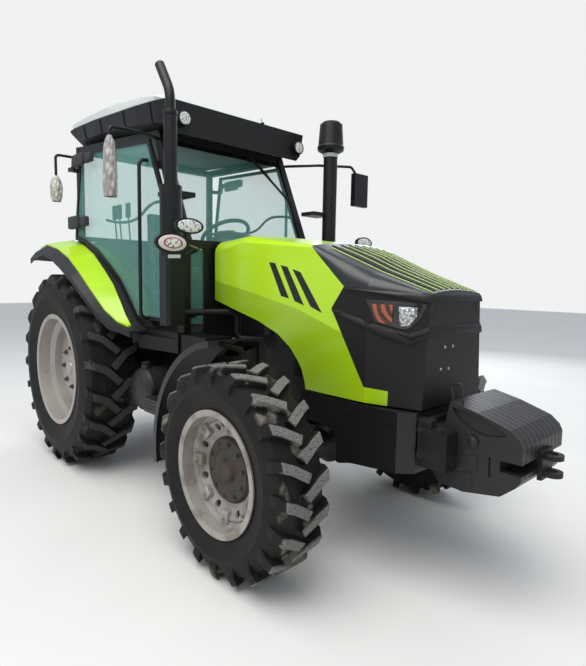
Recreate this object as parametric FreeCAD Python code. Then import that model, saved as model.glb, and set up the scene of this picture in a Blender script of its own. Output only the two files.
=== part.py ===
import FreeCAD
import Part

import math
import os

from FreeCAD import Vector

# A farm tractor of about 110 horsepower with four driven wheels and a closed cab.
# Millimetres. +X is forward, +Y is the driver's left, +Z is up.
# The origin is on the ground, below the middle of the tractor's box.
# Its right side is modelled and mirrored wherever both sides are alike.

# Driving sizes
WHEELBASE = 2320.0
REAR_AXLE_X = -1300.0
FRONT_AXLE_X = REAR_AXLE_X + WHEELBASE
REAR_TIP_X = -2340.0
MIRROR_REACH_Y = 1135.0
SEAT_GAP = 0.3


# Shape helpers

def box(x0, x1, y0, y1, z0, z1):
    """A box between two corners."""
    return Part.makeBox(x1 - x0, y1 - y0, z1 - z0, Vector(x0, y0, z0))


def rod(start, end, radius):
    """A round bar between two points."""
    a, b = Vector(*start), Vector(*end)
    return Part.makeCylinder(radius, (b - a).Length, a, b - a)


def face_of(points):
    """A flat face through a list of corners."""
    corners = [Vector(*p) for p in points]
    return Part.Face(Part.makePolygon(corners + corners[:1]))


def side_plate(outline, y0, y1):
    """A plate cut to an outline of (x, z) corners, from y0 to y1."""
    return face_of([(x, y0, z) for x, z in outline]).extrude(Vector(0, y1 - y0, 0))


def plan_plate(outline, z0, z1):
    """A plate cut to an outline of (x, y) corners, from z0 to z1."""
    return face_of([(x, y, z0) for x, y in outline]).extrude(Vector(0, 0, z1 - z0))


def skin_loft(sections):
    """A solid with flat or ruled sides through closed sections of corners."""
    wires = []
    for section in sections:
        corners = [Vector(*p) for p in section]
        wires.append(Part.makePolygon(corners + corners[:1]))
    return Part.makeLoft(wires, True, True)


def turned(profile, centre, direction):
    """A solid of revolution from a profile of (distance along the axis, radius)."""
    axis = Vector(*direction)
    side = Vector(0, 0, 1)
    if abs(axis.dot(side)) > 0.9:
        side = Vector(1, 0, 0)
    base = Vector(*centre)
    corners = [base + axis * along + side * radius for along, radius in profile]
    return Part.Face(Part.makePolygon(corners + corners[:1])).revolve(base, axis, 360)


def bent_bar(points, radius, bend):
    """A round bar along straight runs that are joined by arcs of one bend radius."""
    runs = [Vector(*p) for p in points]
    edges = []
    start = runs[0]
    for before, corner, after in zip(runs, runs[1:], runs[2:]):
        into = (corner - before).normalize()
        out = (after - corner).normalize()
        turn = into.getAngle(out)
        back = bend * math.tan(turn / 2)
        a = corner - into * back
        b = corner + out * back
        middle_way = (out - into).normalize()
        middle = corner + middle_way * (bend / math.cos(turn / 2) - bend)
        edges.append(Part.LineSegment(start, a).toShape())
        edges.append(Part.Arc(a, middle, b).toShape())
        start = b
    edges.append(Part.LineSegment(start, runs[-1]).toShape())
    path = Part.Wire(edges)
    circle = Part.Wire(Part.Circle(runs[0], runs[1] - runs[0], radius).toShape())
    return path.makePipeShell([circle], True, False, 1)

def oval(centre, half_y, half_z):
    """An oval outline that faces forward."""
    x, y, z = centre
    return Part.Wire(Part.Ellipse(Vector(x, y + half_y, z), Vector(x, y, z + half_z),
                                  Vector(x, y, z)).toShape())


def arc_sector(centre_x, centre_z, inner, outer, start_deg, end_deg, y0, y1):
    """A curved band about a cross axis, from one angle above +X to another."""
    def at(radius, degrees):
        a = math.radians(degrees)
        return Vector(centre_x + radius * math.cos(a), y0, centre_z + radius * math.sin(a))

    middle = (start_deg + end_deg) / 2
    edges = [
        Part.Arc(at(outer, start_deg), at(outer, middle), at(outer, end_deg)).toShape(),
        Part.LineSegment(at(outer, end_deg), at(inner, end_deg)).toShape(),
        Part.Arc(at(inner, end_deg), at(inner, middle), at(inner, start_deg)).toShape(),
        Part.LineSegment(at(inner, start_deg), at(outer, start_deg)).toShape(),
    ]
    return Part.Face(Part.Wire(edges)).extrude(Vector(0, y1 - y0, 0))


def mirrored(shape):
    """The same shape on the other side of the tractor."""
    return shape.mirror(Vector(0, 0, 0), Vector(0, 1, 0))


def joined(*shapes):
    """One shape from several that touch or overlap."""
    first, rest = shapes[0], list(shapes[1:])
    return first.multiFuse(rest).removeSplitter() if rest else first


def both_sides(*shapes):
    """The shapes and their mirror images, in one list."""
    return list(shapes) + [mirrored(s) for s in shapes]


NODES = {}


def node(name, *shapes):
    """Keeps a named piece, as one solid or as several that stand apart."""
    NODES[name] = Part.makeCompound([solid for s in shapes for solid in s.Solids])
    return NODES[name]


# Wheels: a drop-centre rim with a dished disc, a hub and a lugged tyre, turned about the axle

REAR_WHEEL = {
    "tyre_radius": 785.0, "tyre_width": 430.0, "flange_radius": 457.0, "seat_radius": 432.0,
              "well_radius": 385.0,
    "rim_width": 380.0, "disc_radius": 375.0, "knee_radius": 225.0, "disc_in": 33.0, "disc_out": 10.0,
    "bore_radius": 110.0, "windows": 0, "window_radius": 0.0, "window_circle": 0.0,
    "lugs": 21, "lug_at": 10.0, "lug_run": 158.0, "lug_height": 45.0, "lug_thick": 50.0,
    # Share of half the tyre's width, and share of the lug's run about the tyre
    "lug_line": [(-0.12, 0.0), (0.36, 0.65), (0.84, 0.93), (0.985, 1.0)],
}
FRONT_WHEEL = {
    "tyre_radius": 560.0, "tyre_width": 330.0, "flange_radius": 330.0, "seat_radius": 306.0,
               "well_radius": 268.0,
    "rim_width": 290.0, "disc_radius": 258.0, "knee_radius": 205.0, "disc_in": 20.0, "disc_out": 60.0,
    "bore_radius": 176.0, "windows": 8, "window_radius": 20.0, "window_circle": 229.0,
    "lugs": 20, "lug_at": 20.0, "lug_run": 92.0, "lug_height": 42.0, "lug_thick": 45.0,
    "lug_line": [(-0.06, 0.0), (0.5, 0.62), (0.985, 1.0)],
}
REAR_WHEEL_Y = 793.0
FRONT_WHEEL_Y = 850.0
RIM_WALL = 10.0
FLANGE_WALL = 9.0
DISC_WALL = 14.0
LUG_FLARE = 5.0
LUG_DEPTH = 150.0


def rim(wheel):
    """The rim band and its disc, with its outer side towards +Y and its middle at the origin."""
    half = wheel["rim_width"] / 2
    seat, well, flange = wheel["seat_radius"], wheel["well_radius"], wheel["flange_radius"]
    outside = [
        (-half, flange), (-half + FLANGE_WALL, flange), (-half + FLANGE_WALL + 6, seat),
        (-half * 0.5, seat - 4), (-half * 0.38, well), (half * 0.38, well), (half * 0.5, seat - 4),
        (half - FLANGE_WALL - 6, seat), (half - FLANGE_WALL, flange), (half, flange),
    ]
    inside = [
        (half - 4, seat - RIM_WALL), (half * 0.5, seat - 4 - RIM_WALL), (half * 0.38 - 8, well - RIM_WALL),
        (-half * 0.38 + 8, well - RIM_WALL), (-half * 0.5, seat - 4 - RIM_WALL), (-half + 4, seat - RIM_WALL),
    ]
    band = turned(outside + inside, (0, 0, 0), (0, 1, 0))
    bore, edge, knee = wheel["bore_radius"], wheel["disc_radius"], wheel["knee_radius"]
    y_in, y_out = wheel["disc_in"], wheel["disc_out"]
    dish = [(y_in, bore), (y_in, knee), (y_out - DISC_WALL, edge), (y_out - DISC_WALL, edge + 4),
            (y_out, edge + 4), (y_out, edge - 6), (y_in + DISC_WALL, knee - 4), (y_in + DISC_WALL, bore)]
    disc = turned(dish, (0, 0, 0), (0, 1, 0))
    for k in range(wheel["windows"]):
        a = 2 * math.pi * (k + 0.5) / wheel["windows"]
        x, z = wheel["window_circle"] * math.cos(a), wheel["window_circle"] * math.sin(a)
        disc = disc.cut(rod((x, -200, z), (x, 200, z), wheel["window_radius"]))
    return joined(band, disc)


def ribbon(path, half):
    """The outline of a bar of one width along a path of (x, y) points."""
    left, right = [], []
    for before, (x, y), after in zip(path[:1] + path, path, path[1:] + path[-1:]):
        along = Vector(after[0] - before[0], after[1] - before[1], 0).normalize()
        left.append((x - along.y * half, y + along.x * half))
        right.append((x + along.y * half, y - along.x * half))
    return left + right[::-1]


def lug(wheel, side):
    """A tread bar at the top of the wheel, on its outer half (side 1) or its inner half (side -1)."""
    half, top = wheel["tyre_width"] / 2, wheel["tyre_radius"]
    path = [(wheel["lug_run"] * (0.5 - around), side * half * across) for across, around in wheel["lug_line"]]
    foot = ribbon(path, wheel["lug_thick"] / 2 + LUG_FLARE)
    crest = ribbon(path, wheel["lug_thick"] / 2)
    bar = skin_loft([[(x, y, top - LUG_DEPTH) for x, y in foot], [(x, y, top + 10) for x, y in crest]])
    envelope = [(-half * 0.5, top - 160), (-half * 0.93, top - 125), (-half * 0.965, top - 55),
                (-half * 0.8, top)]
    return bar.common(turned(envelope + [(-y, r) for y, r in envelope[::-1]], (0, 0, 0), (0, 1, 0)))


def tyre(wheel):
    """The tyre about its rim: a hollow-cheeked body with two staggered rows of lugs."""
    half, top, flange = wheel["tyre_width"] / 2, wheel["tyre_radius"], wheel["flange_radius"]
    bead = wheel["rim_width"] / 2 - FLANGE_WALL - 6 - SEAT_GAP
    middle = flange + (top - flange) * 0.42
    floor = top - wheel["lug_height"]
    profile = [
        (-bead, wheel["seat_radius"] + SEAT_GAP), (-bead - 3, flange + 3), (-half, middle),
               (-half * 0.93, floor - 60),
        (-half * 0.8, floor - 10), (-half * 0.35, floor),
    ]
    body = turned(profile + [(-y, r) for y, r in profile[::-1]], (0, 0, 0), (0, 1, 0))
    pitch = 360 / wheel["lugs"]
    lean = math.degrees(wheel["lug_run"] / 2 / top)
    bars = []
    for side, shift in ((1, 0), (-1, pitch / 2)):
        bar = lug(wheel, side)
        for k in range(wheel["lugs"]):
            placed = bar.copy()
            placed.rotate(Vector(0, 0, 0), Vector(0, 1, 0), 90 + lean - wheel["lug_at"] - shift - pitch * k)
            bars.append(placed)
    return joined(body, *bars)


def placed_wheel(shape, x, y, z):
    """A wheel piece on the left at (x, y, z), and its mirror image on the right."""
    left = shape.copy()
    left.translate(Vector(x, y, z))
    return left, mirrored(left)


REAR_AXLE_Z = REAR_WHEEL["tyre_radius"]
FRONT_AXLE_Z = FRONT_WHEEL["tyre_radius"]
SHAFT_RADIUS = 60.0
SHAFT_CLEARANCE = 0.05
HUB_BORE_DEPTH = 32.0

# The rear hub is a flange behind the disc, with a boss that stands out through it
REAR_HUB_IN_Y = REAR_WHEEL["disc_in"] - 45
rear_boss = REAR_WHEEL["bore_radius"] - SEAT_GAP
rear_hub = turned(
    [(REAR_HUB_IN_Y + HUB_BORE_DEPTH, 0), (REAR_HUB_IN_Y + HUB_BORE_DEPTH, SHAFT_RADIUS + SHAFT_CLEARANCE),
     (REAR_HUB_IN_Y, SHAFT_RADIUS + SHAFT_CLEARANCE), (REAR_HUB_IN_Y, 150), (REAR_WHEEL["disc_in"], 150),
     (REAR_WHEEL["disc_in"], rear_boss), (REAR_WHEEL["disc_in"] + 22, rear_boss),
     (REAR_WHEEL["disc_in"] + 34, 86),
     (REAR_WHEEL["disc_in"] + 34, 60), (REAR_WHEEL["disc_in"] + 48, 52), (REAR_WHEEL["disc_in"] + 48, 0)],
    (0, 0, 0), (0, 1, 0))
rear_rim_left, rear_rim_right = placed_wheel(joined(rim(REAR_WHEEL), rear_hub), REAR_AXLE_X, REAR_WHEEL_Y,
                                             REAR_AXLE_Z)
rear_tyre_left, rear_tyre_right = placed_wheel(tyre(REAR_WHEEL), REAR_AXLE_X, REAR_WHEEL_Y, REAR_AXLE_Z)
node("rear_rim_left", rear_rim_left)
node("rear_rim_right", rear_rim_right)
node("rear_tyre_left", rear_tyre_left)
node("rear_tyre_right", rear_tyre_right)

# Each front hub is a planetary drum that stands out through the disc, with a flange behind it
FRONT_HUB_IN_Y = -35.0
front_seat = FRONT_WHEEL["disc_in"] - SEAT_GAP
front_hub = turned(
    [(FRONT_HUB_IN_Y + HUB_BORE_DEPTH, 0), (FRONT_HUB_IN_Y + HUB_BORE_DEPTH, SHAFT_RADIUS + SHAFT_CLEARANCE),
     (FRONT_HUB_IN_Y, SHAFT_RADIUS + SHAFT_CLEARANCE), (FRONT_HUB_IN_Y, 140), (-8, 205), (front_seat, 205),
     (front_seat, 175), (42, 174), (56, 162), (56, 118), (50, 112), (50, 64), (62, 56), (62, 0)],
    (0, 0, 0), (0, 1, 0))
front_rim_left, front_rim_right = placed_wheel(rim(FRONT_WHEEL), FRONT_AXLE_X, FRONT_WHEEL_Y, FRONT_AXLE_Z)
front_tyre_left, front_tyre_right = placed_wheel(tyre(FRONT_WHEEL), FRONT_AXLE_X, FRONT_WHEEL_Y, FRONT_AXLE_Z)
front_hub_left, front_hub_right = placed_wheel(front_hub, FRONT_AXLE_X, FRONT_WHEEL_Y, FRONT_AXLE_Z)
node("front_rim_left", front_rim_left)
node("front_rim_right", front_rim_right)
node("front_tyre_left", front_tyre_left)
node("front_tyre_right", front_tyre_right)
node("front_hub_left", front_hub_left)
node("front_hub_right", front_hub_right)

# Front axle: a live beam with forked ends, a knuckle in each fork, and a double-ended steering cylinder

KINGPIN_Y = 665.0
FORK_GAP_Z = 130.0
FORK_ARM = 45.0
KNUCKLE_RADIUS = 92.0
BEAM_END_Y = KINGPIN_Y - 125.0
PIVOT_RADIUS = 48.0
KINGPIN_RADIUS = 28.0
KINGPIN_DEPTH = 32.0

axle_beam = turned(
    [(-BEAM_END_Y, 0), (-BEAM_END_Y, 60), (-BEAM_END_Y + 45, 95), (-BEAM_END_Y + 65, 72), (-190, 88),
     (-150, 125), (150, 125), (190, 88), (BEAM_END_Y - 65, 72), (BEAM_END_Y - 45, 95), (BEAM_END_Y, 60),
     (BEAM_END_Y, 0)],
    (FRONT_AXLE_X, 0, FRONT_AXLE_Z), (0, 1, 0))
axle_pieces = [axle_beam, rod((FRONT_AXLE_X - 175, 0, FRONT_AXLE_Z), (FRONT_AXLE_X + 165, 0, FRONT_AXLE_Z),
                              PIVOT_RADIUS)]
for side in (-1, 1):
    y_end, y_pin = side * BEAM_END_Y, side * KINGPIN_Y
    fork_plate = box(FRONT_AXLE_X - 50, FRONT_AXLE_X + 80, min(y_end - side * 35, y_end),
                     max(y_end - side * 35, y_end),
                     FRONT_AXLE_Z - FORK_GAP_Z - FORK_ARM, FRONT_AXLE_Z + FORK_GAP_Z + FORK_ARM)
    axle_pieces.append(fork_plate)
    for low in (FRONT_AXLE_Z + FORK_GAP_Z, FRONT_AXLE_Z - FORK_GAP_Z - FORK_ARM):
        arm = box(FRONT_AXLE_X - 60, FRONT_AXLE_X + 60, min(y_end, y_pin), max(y_end, y_pin), low,
                  low + FORK_ARM)
        axle_pieces.append(arm)
        axle_pieces.append(rod((FRONT_AXLE_X, y_pin, low), (FRONT_AXLE_X, y_pin, low + FORK_ARM), 60))
        inward = -1 if low > FRONT_AXLE_Z else 1
        pin_root = low + FORK_ARM / 2
        pin_end = pin_root + inward * (FORK_ARM / 2 + KINGPIN_DEPTH)
        axle_pieces.append(rod((FRONT_AXLE_X, y_pin, pin_root), (FRONT_AXLE_X, y_pin, pin_end), KINGPIN_RADIUS))
node("front_axle", joined(*axle_pieces))

STEER_ARM = 250.0
STEER_ROD_X = FRONT_AXLE_X - STEER_ARM
STEER_PIN_Y = KINGPIN_Y - 60.0
STEER_ROD_Z = FRONT_AXLE_Z + 62.0
STEER_PLATE_TOP = STEER_ROD_Z - 26.0
HUB_STUB_RADIUS = 120.0

knuckle_pieces = [
    rod((FRONT_AXLE_X, KINGPIN_Y, FRONT_AXLE_Z - FORK_GAP_Z + 3),
        (FRONT_AXLE_X, KINGPIN_Y, FRONT_AXLE_Z + FORK_GAP_Z - 3),
        KNUCKLE_RADIUS),
    rod((FRONT_AXLE_X, KINGPIN_Y, FRONT_AXLE_Z),
        (FRONT_AXLE_X, FRONT_WHEEL_Y + FRONT_HUB_IN_Y - 2, FRONT_AXLE_Z),
        HUB_STUB_RADIUS),
    rod((FRONT_AXLE_X, KINGPIN_Y, FRONT_AXLE_Z),
        (FRONT_AXLE_X, FRONT_WHEEL_Y + FRONT_HUB_IN_Y + HUB_BORE_DEPTH - 3, FRONT_AXLE_Z),
        SHAFT_RADIUS),
    plan_plate([(FRONT_AXLE_X - 60, KINGPIN_Y + 60), (STEER_ROD_X - 35, STEER_PIN_Y + 35),
                (STEER_ROD_X - 35, STEER_PIN_Y - 30),
                (STEER_ROD_X + 25, STEER_PIN_Y - 30), (FRONT_AXLE_X - 30, KINGPIN_Y - 50)],
               STEER_PLATE_TOP - 28, STEER_PLATE_TOP),
]
# The mudguard's centre lies behind and below the axle, so that it opens towards its lower end
GUARD_RADIUS = 700.0
GUARD_X, GUARD_Z = FRONT_AXLE_X - 55, FRONT_AXLE_Z - 35
GUARD_START, GUARD_END = 98, 190
GUARD_WALL = 6.0
GUARD_LIP = 30.0
GUARD_IN_Y = 640.0
GUARD_OUT_Y = 920.0
BRACKET_X, BRACKET_Y = FRONT_AXLE_X - 185, 665.0
guard_top_z = GUARD_Z + math.sqrt(GUARD_RADIUS ** 2 - (BRACKET_X - GUARD_X) ** 2)
guard_bracket = bent_bar(
    [(FRONT_AXLE_X - 95, KINGPIN_Y + 25, FRONT_AXLE_Z + 60), (BRACKET_X, BRACKET_Y, FRONT_AXLE_Z + 150),
     (BRACKET_X, BRACKET_Y, guard_top_z - 60), (BRACKET_X, BRACKET_Y + 150, guard_top_z - 12)], 16, 40)
guard_bracket = guard_bracket.cut(
    rod((GUARD_X, 400, GUARD_Z), (GUARD_X, 1000, GUARD_Z), GUARD_RADIUS + 60).cut(
        rod((GUARD_X, 400, GUARD_Z), (GUARD_X, 1000, GUARD_Z), GUARD_RADIUS - SEAT_GAP)))
knuckle_left = joined(*knuckle_pieces, guard_bracket)
for z in (FRONT_AXLE_Z - FORK_GAP_Z, FRONT_AXLE_Z + FORK_GAP_Z):
    bore = rod((FRONT_AXLE_X, KINGPIN_Y, z - KINGPIN_DEPTH - 2),
               (FRONT_AXLE_X, KINGPIN_Y, z + KINGPIN_DEPTH + 2),
               KINGPIN_RADIUS + SHAFT_CLEARANCE)
    knuckle_left = knuckle_left.cut(bore)
node("knuckle_left", knuckle_left)
node("knuckle_right", mirrored(knuckle_left))
guard_left = joined(
    arc_sector(GUARD_X, GUARD_Z, GUARD_RADIUS, GUARD_RADIUS + GUARD_WALL, GUARD_START, GUARD_END, GUARD_IN_Y,
               GUARD_OUT_Y),
    arc_sector(GUARD_X, GUARD_Z, GUARD_RADIUS - GUARD_LIP, GUARD_RADIUS + GUARD_WALL, GUARD_START, GUARD_END,
               GUARD_OUT_Y - 8, GUARD_OUT_Y))
node("mudguard_left", guard_left)
node("mudguard_right", mirrored(guard_left))

steering_rod = joined(
    rod((STEER_ROD_X, -STEER_PIN_Y, STEER_ROD_Z), (STEER_ROD_X, STEER_PIN_Y, STEER_ROD_Z), 16),
    rod((STEER_ROD_X, STEER_PIN_Y, STEER_PLATE_TOP + 1), (STEER_ROD_X, STEER_PIN_Y, STEER_ROD_Z + 26), 28),
    rod((STEER_ROD_X, -STEER_PIN_Y, STEER_PLATE_TOP + 1), (STEER_ROD_X, -STEER_PIN_Y, STEER_ROD_Z + 26), 28))
node("steering_rod", steering_rod)
steering_cylinder = joined(
    rod((STEER_ROD_X, -210, STEER_ROD_Z), (STEER_ROD_X, 210, STEER_ROD_Z), 34),
    box(STEER_ROD_X - 20, FRONT_AXLE_X - 80, -150, -110, STEER_ROD_Z - 20, STEER_ROD_Z + 20),
    box(STEER_ROD_X - 20, FRONT_AXLE_X - 80, 110, 150, STEER_ROD_Z - 20, STEER_ROD_Z + 20))
steering_cylinder = steering_cylinder.cut(
    rod((STEER_ROD_X, -300, STEER_ROD_Z), (STEER_ROD_X, 300, STEER_ROD_Z), 16.5)).cut(NODES["front_axle"])
node("steering_cylinder", steering_cylinder)

# Driveline: engine, clutch housing, gearbox and rear axle are the backbone

ENGINE_REAR_X = 430.0
ENGINE_FRONT_X = FRONT_AXLE_X + 60
ENGINE_LENGTH = ENGINE_FRONT_X - ENGINE_REAR_X
block = joined(
    box(ENGINE_REAR_X, ENGINE_FRONT_X, -215, 215, 760, 1190),
    box(ENGINE_REAR_X + 20, ENGINE_FRONT_X - 20, -185, 185, 1190, 1330),
    box(ENGINE_REAR_X + 60, ENGINE_FRONT_X - 60, -110, 110, 1330, 1430),
    box(ENGINE_REAR_X + 20, ENGINE_REAR_X + ENGINE_LENGTH * 0.45, -170, 170, 560, 760))
# What is bolted to the open sides of the engine, by its share of the engine's length from the rear:
# share, y, height, share, y, height, radius of a round piece
ENGINE_ROUNDS = [
    # Fuel filters on the right
    (0.22, -238, 1195, 0.22, -238, 1330, 42), (0.38, -238, 1195, 0.38, -238, 1330, 42),
    # Turbocharger and its two housings on the right
    (0.55, -232, 1262, 0.74, -232, 1262, 34), (0.54, -240, 1262, 0.61, -240, 1262, 72),
                 (0.68, -240, 1262, 0.75, -240, 1262, 64),
    # Exhaust manifold on the right and inlet manifold on the left
    (0.08, -200, 1345, 0.86, -200, 1345, 26), (0.08, 205, 1300, 0.90, 205, 1300, 36),
    # Generator, water pump and belt wheels at the front
    (0.84, -222, 1225, 1.02, -222, 1225, 62), (1.00, -222, 1225, 1.06, -222, 1225, 42),
                 (1.00, 0, 1130, 1.10, 0, 1130, 70),
    (1.00, 0, 900, 1.08, 0, 900, 92), (0.98, -120, 1040, 1.06, -120, 1040, 44),
    # Injection pump and starter on the left
    (0.30, 232, 1228, 0.66, 232, 1228, 40), (0.05, 238, 1060, 0.34, 238, 1060, 46),
    # Oil filters low on the right
    (0.62, -225, 960, 0.62, -225, 1120, 40),
]


def engine_point(share, y, z):
    return (ENGINE_REAR_X + ENGINE_LENGTH * share, y, z)


rounds = [rod(engine_point(*row[:3]), engine_point(*row[3:6]), row[6]) for row in ENGINE_ROUNDS]
seats = [box(ENGINE_REAR_X + ENGINE_LENGTH * 0.15, ENGINE_REAR_X + ENGINE_LENGTH * 0.45, -240, -170, 1290,
             1325),
         box(ENGINE_REAR_X + ENGINE_LENGTH * 0.56, ENGINE_REAR_X + ENGINE_LENGTH * 0.72, -225, -170, 1180,
             1290),
         box(ENGINE_REAR_X + ENGINE_LENGTH * 0.86, ENGINE_REAR_X + ENGINE_LENGTH * 0.98, -215, -170, 1170,
             1260)]
for k in range(4):
    # One runner of the exhaust manifold, one fuel pipe and one injector to each cylinder
    share = 0.16 + 0.21 * k
    rounds.append(rod(engine_point(share, -100, 1345), engine_point(share, -200, 1345), 22))
    rounds.append(rod(engine_point(share, 60, 1420), engine_point(share, 60, 1452), 14))
    rounds.append(bent_bar([engine_point(0.36 + 0.08 * k, 232, 1255), engine_point(0.36 + 0.08 * k, 232, 1385),
                            engine_point(share, 100, 1385)], 6, 25))
coolant_hose = bent_bar([engine_point(0.88, 60, 1380), engine_point(1.12, 60, 1380),
                         engine_point(1.12, 150, 1340),
                         (FRONT_AXLE_X + 279, 150, 1340)], 26, 40)
engine = block.multiFuse(rounds + seats + [coolant_hose])
node("engine", engine)

GEARBOX_FRONT_X = ENGINE_REAR_X
REAR_SHAFT_END_Y = REAR_WHEEL_Y + REAR_HUB_IN_Y + HUB_BORE_DEPTH - 3
TRUMPET_END_Y = REAR_WHEEL_Y + REAR_HUB_IN_Y - 48
gearbox = joined(
    skin_loft([
        [(GEARBOX_FRONT_X, -235, 620), (GEARBOX_FRONT_X, 235, 620), (GEARBOX_FRONT_X, 235, 1100),
         (GEARBOX_FRONT_X, -235, 1100)],
        [(100, -190, 600), (100, 190, 600), (100, 190, 985), (100, -190, 985)],
        [(-950, -215, 560), (-950, 215, 560), (-950, 215, 985), (-950, -215, 985)],
        [(-1080, -290, 520), (-1080, 290, 520), (-1080, 290, 1090), (-1080, -290, 1090)],
        [(-1560, -290, 540), (-1560, 290, 540), (-1560, 290, 1090), (-1560, -290, 1090)],
    ]),
    turned([(-TRUMPET_END_Y, 0), (-TRUMPET_END_Y, 150), (-TRUMPET_END_Y + 40, 150), (-TRUMPET_END_Y + 50, 112),
            (-300, 150),
            (300, 150), (TRUMPET_END_Y - 50, 112), (TRUMPET_END_Y - 40, 150), (TRUMPET_END_Y, 150),
            (TRUMPET_END_Y, 0)],
           (REAR_AXLE_X, 0, REAR_AXLE_Z), (0, 1, 0)),
    rod((REAR_AXLE_X, -REAR_SHAFT_END_Y, REAR_AXLE_Z), (REAR_AXLE_X, REAR_SHAFT_END_Y, REAR_AXLE_Z),
        SHAFT_RADIUS))
node("gearbox", gearbox)

# Front support: a cast frame from the engine to the weights, with the axle's two pivot brackets

SUPPORT_REAR_X = ENGINE_FRONT_X
SUPPORT_FRONT_X = FRONT_AXLE_X + 730
SUPPORT_Z0, SUPPORT_Z1 = 730.0, 880.0
support = joined(
    box(SUPPORT_REAR_X, SUPPORT_FRONT_X, -235, -195, SUPPORT_Z0, SUPPORT_Z1),
    box(SUPPORT_REAR_X, SUPPORT_FRONT_X, 195, 235, SUPPORT_Z0, SUPPORT_Z1),
    box(SUPPORT_REAR_X, SUPPORT_FRONT_X, -235, 235, SUPPORT_Z0, SUPPORT_Z0 + 30),
    box(SUPPORT_FRONT_X - 40, SUPPORT_FRONT_X, -235, 235, SUPPORT_Z0 - 80, SUPPORT_Z1),
    box(FRONT_AXLE_X + 128, FRONT_AXLE_X + 178, -90, 90, FRONT_AXLE_Z - 70, SUPPORT_Z0),
    box(FRONT_AXLE_X - 190, FRONT_AXLE_X - 140, -90, 90, FRONT_AXLE_Z - 70, 757),
    box(FRONT_AXLE_X - 190, SUPPORT_REAR_X + 10, -90, 90, SUPPORT_Z0, 757))
support = support.cut(NODES["front_axle"]).cut(NODES["engine"])
support = support.cut(rod((FRONT_AXLE_X - 320, 0, FRONT_AXLE_Z), (FRONT_AXLE_X + 380, 0, FRONT_AXLE_Z),
                          PIVOT_RADIUS + SEAT_GAP))
node("front_support", support)

RADIATOR_X = FRONT_AXLE_X + 310
radiator = joined(
    box(RADIATOR_X, RADIATOR_X + 100, -300, 300, 900, 1440),
    box(RADIATOR_X - 30, RADIATOR_X, -300, 300, SUPPORT_Z1 + SEAT_GAP, 1440),
    rod((RADIATOR_X - 90, 0, 1130), (RADIATOR_X - 30, 0, 1130), 210))
node("radiator", radiator)

# Lower cover: the dark box round the front support, with an arch behind for the wheel

COVER_HALF_Y = 372.0
COVER_TOP_Z = 915.0
COVER_REAR_X = FRONT_AXLE_X - 10
COVER_FRONT_X = SUPPORT_FRONT_X + 15
COVER_WALL = 12.0
cover_plan = [(COVER_REAR_X, -COVER_HALF_Y), (COVER_FRONT_X - 70, -COVER_HALF_Y),
              (COVER_FRONT_X, -COVER_HALF_Y + 60),
              (COVER_FRONT_X, COVER_HALF_Y - 60), (COVER_FRONT_X - 70, COVER_HALF_Y),
              (COVER_REAR_X, COVER_HALF_Y)]
cover_inside = [(COVER_REAR_X - 100, -COVER_HALF_Y + COVER_WALL),
                (COVER_FRONT_X - 75, -COVER_HALF_Y + COVER_WALL),
                (COVER_FRONT_X - COVER_WALL, -COVER_HALF_Y + 65),
                (COVER_FRONT_X - COVER_WALL, COVER_HALF_Y - 65),
                (COVER_FRONT_X - 75, COVER_HALF_Y - COVER_WALL),
                (COVER_REAR_X - 100, COVER_HALF_Y - COVER_WALL)]
cover = plan_plate(cover_plan, 560, COVER_TOP_Z).cut(plan_plate(cover_inside, 500, 1000))
# Cut-outs in the side, from the axle forward and from the front back
wheel_arch = [(-110, 500), (280, 500), (280, 690), (250, 735), (180, 750), (-110, 750)]
chin = [(-475, 550), (-365, 580), (-105, 605), (35, 612), (35, 500), (-475, 500)]
cover = cover.cut(side_plate([(FRONT_AXLE_X + x, z) for x, z in wheel_arch], -500, 500))
cover = cover.cut(side_plate([(COVER_FRONT_X + x, z) for x, z in chin], -500, 500))
# A raised band under the hood, and the seam's lip along the side
LIP_OUT_Y = COVER_HALF_Y + 3
cover_lips = [box(FRONT_AXLE_X + 285, COVER_FRONT_X - 75, COVER_HALF_Y - COVER_WALL, LIP_OUT_Y, z, z + high)
              for z, high in ((842, 8), (895, 20))]
cover_braces = [box(x, x + 40, 235, COVER_HALF_Y - COVER_WALL, 800, 840) for x in (RADIATOR_X - 30,
                                                                                   COVER_FRONT_X - 165)]
node("lower_cover", joined(cover, *both_sides(*cover_braces, *cover_lips)))

# Front weights: a carrier on the support's nose, ten hooked slabs and a tow clevis

WEIGHT_REAR_X = COVER_FRONT_X + 107
WEIGHT_FRONT_X = WEIGHT_REAR_X + 377
CARRIER_FRONT_X = WEIGHT_REAR_X - SEAT_GAP
WEIGHT_COUNT = 10
WEIGHT_PITCH = 46.0
WEIGHT_THICK = 42.0
STACK_HALF_Y = (WEIGHT_PITCH * (WEIGHT_COUNT - 1) + WEIGHT_THICK) / 2
carrier_side = [
    # The cheek beside the weights with its bolted plate above
    box(COVER_FRONT_X + 20, WEIGHT_REAR_X + 70, STACK_HALF_Y + 8, STACK_HALF_Y + 100, 665, 850),
    box(COVER_FRONT_X + SEAT_GAP, COVER_FRONT_X + 76, 250, 300, 800, 890)]
carrier = joined(
    box(COVER_FRONT_X + SEAT_GAP, COVER_FRONT_X + 30, -250, 250, 690, 880),
    box(COVER_FRONT_X + 20, CARRIER_FRONT_X, -STACK_HALF_Y - 90, STACK_HALF_Y + 90, 740, 850),
    *both_sides(*carrier_side))
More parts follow.
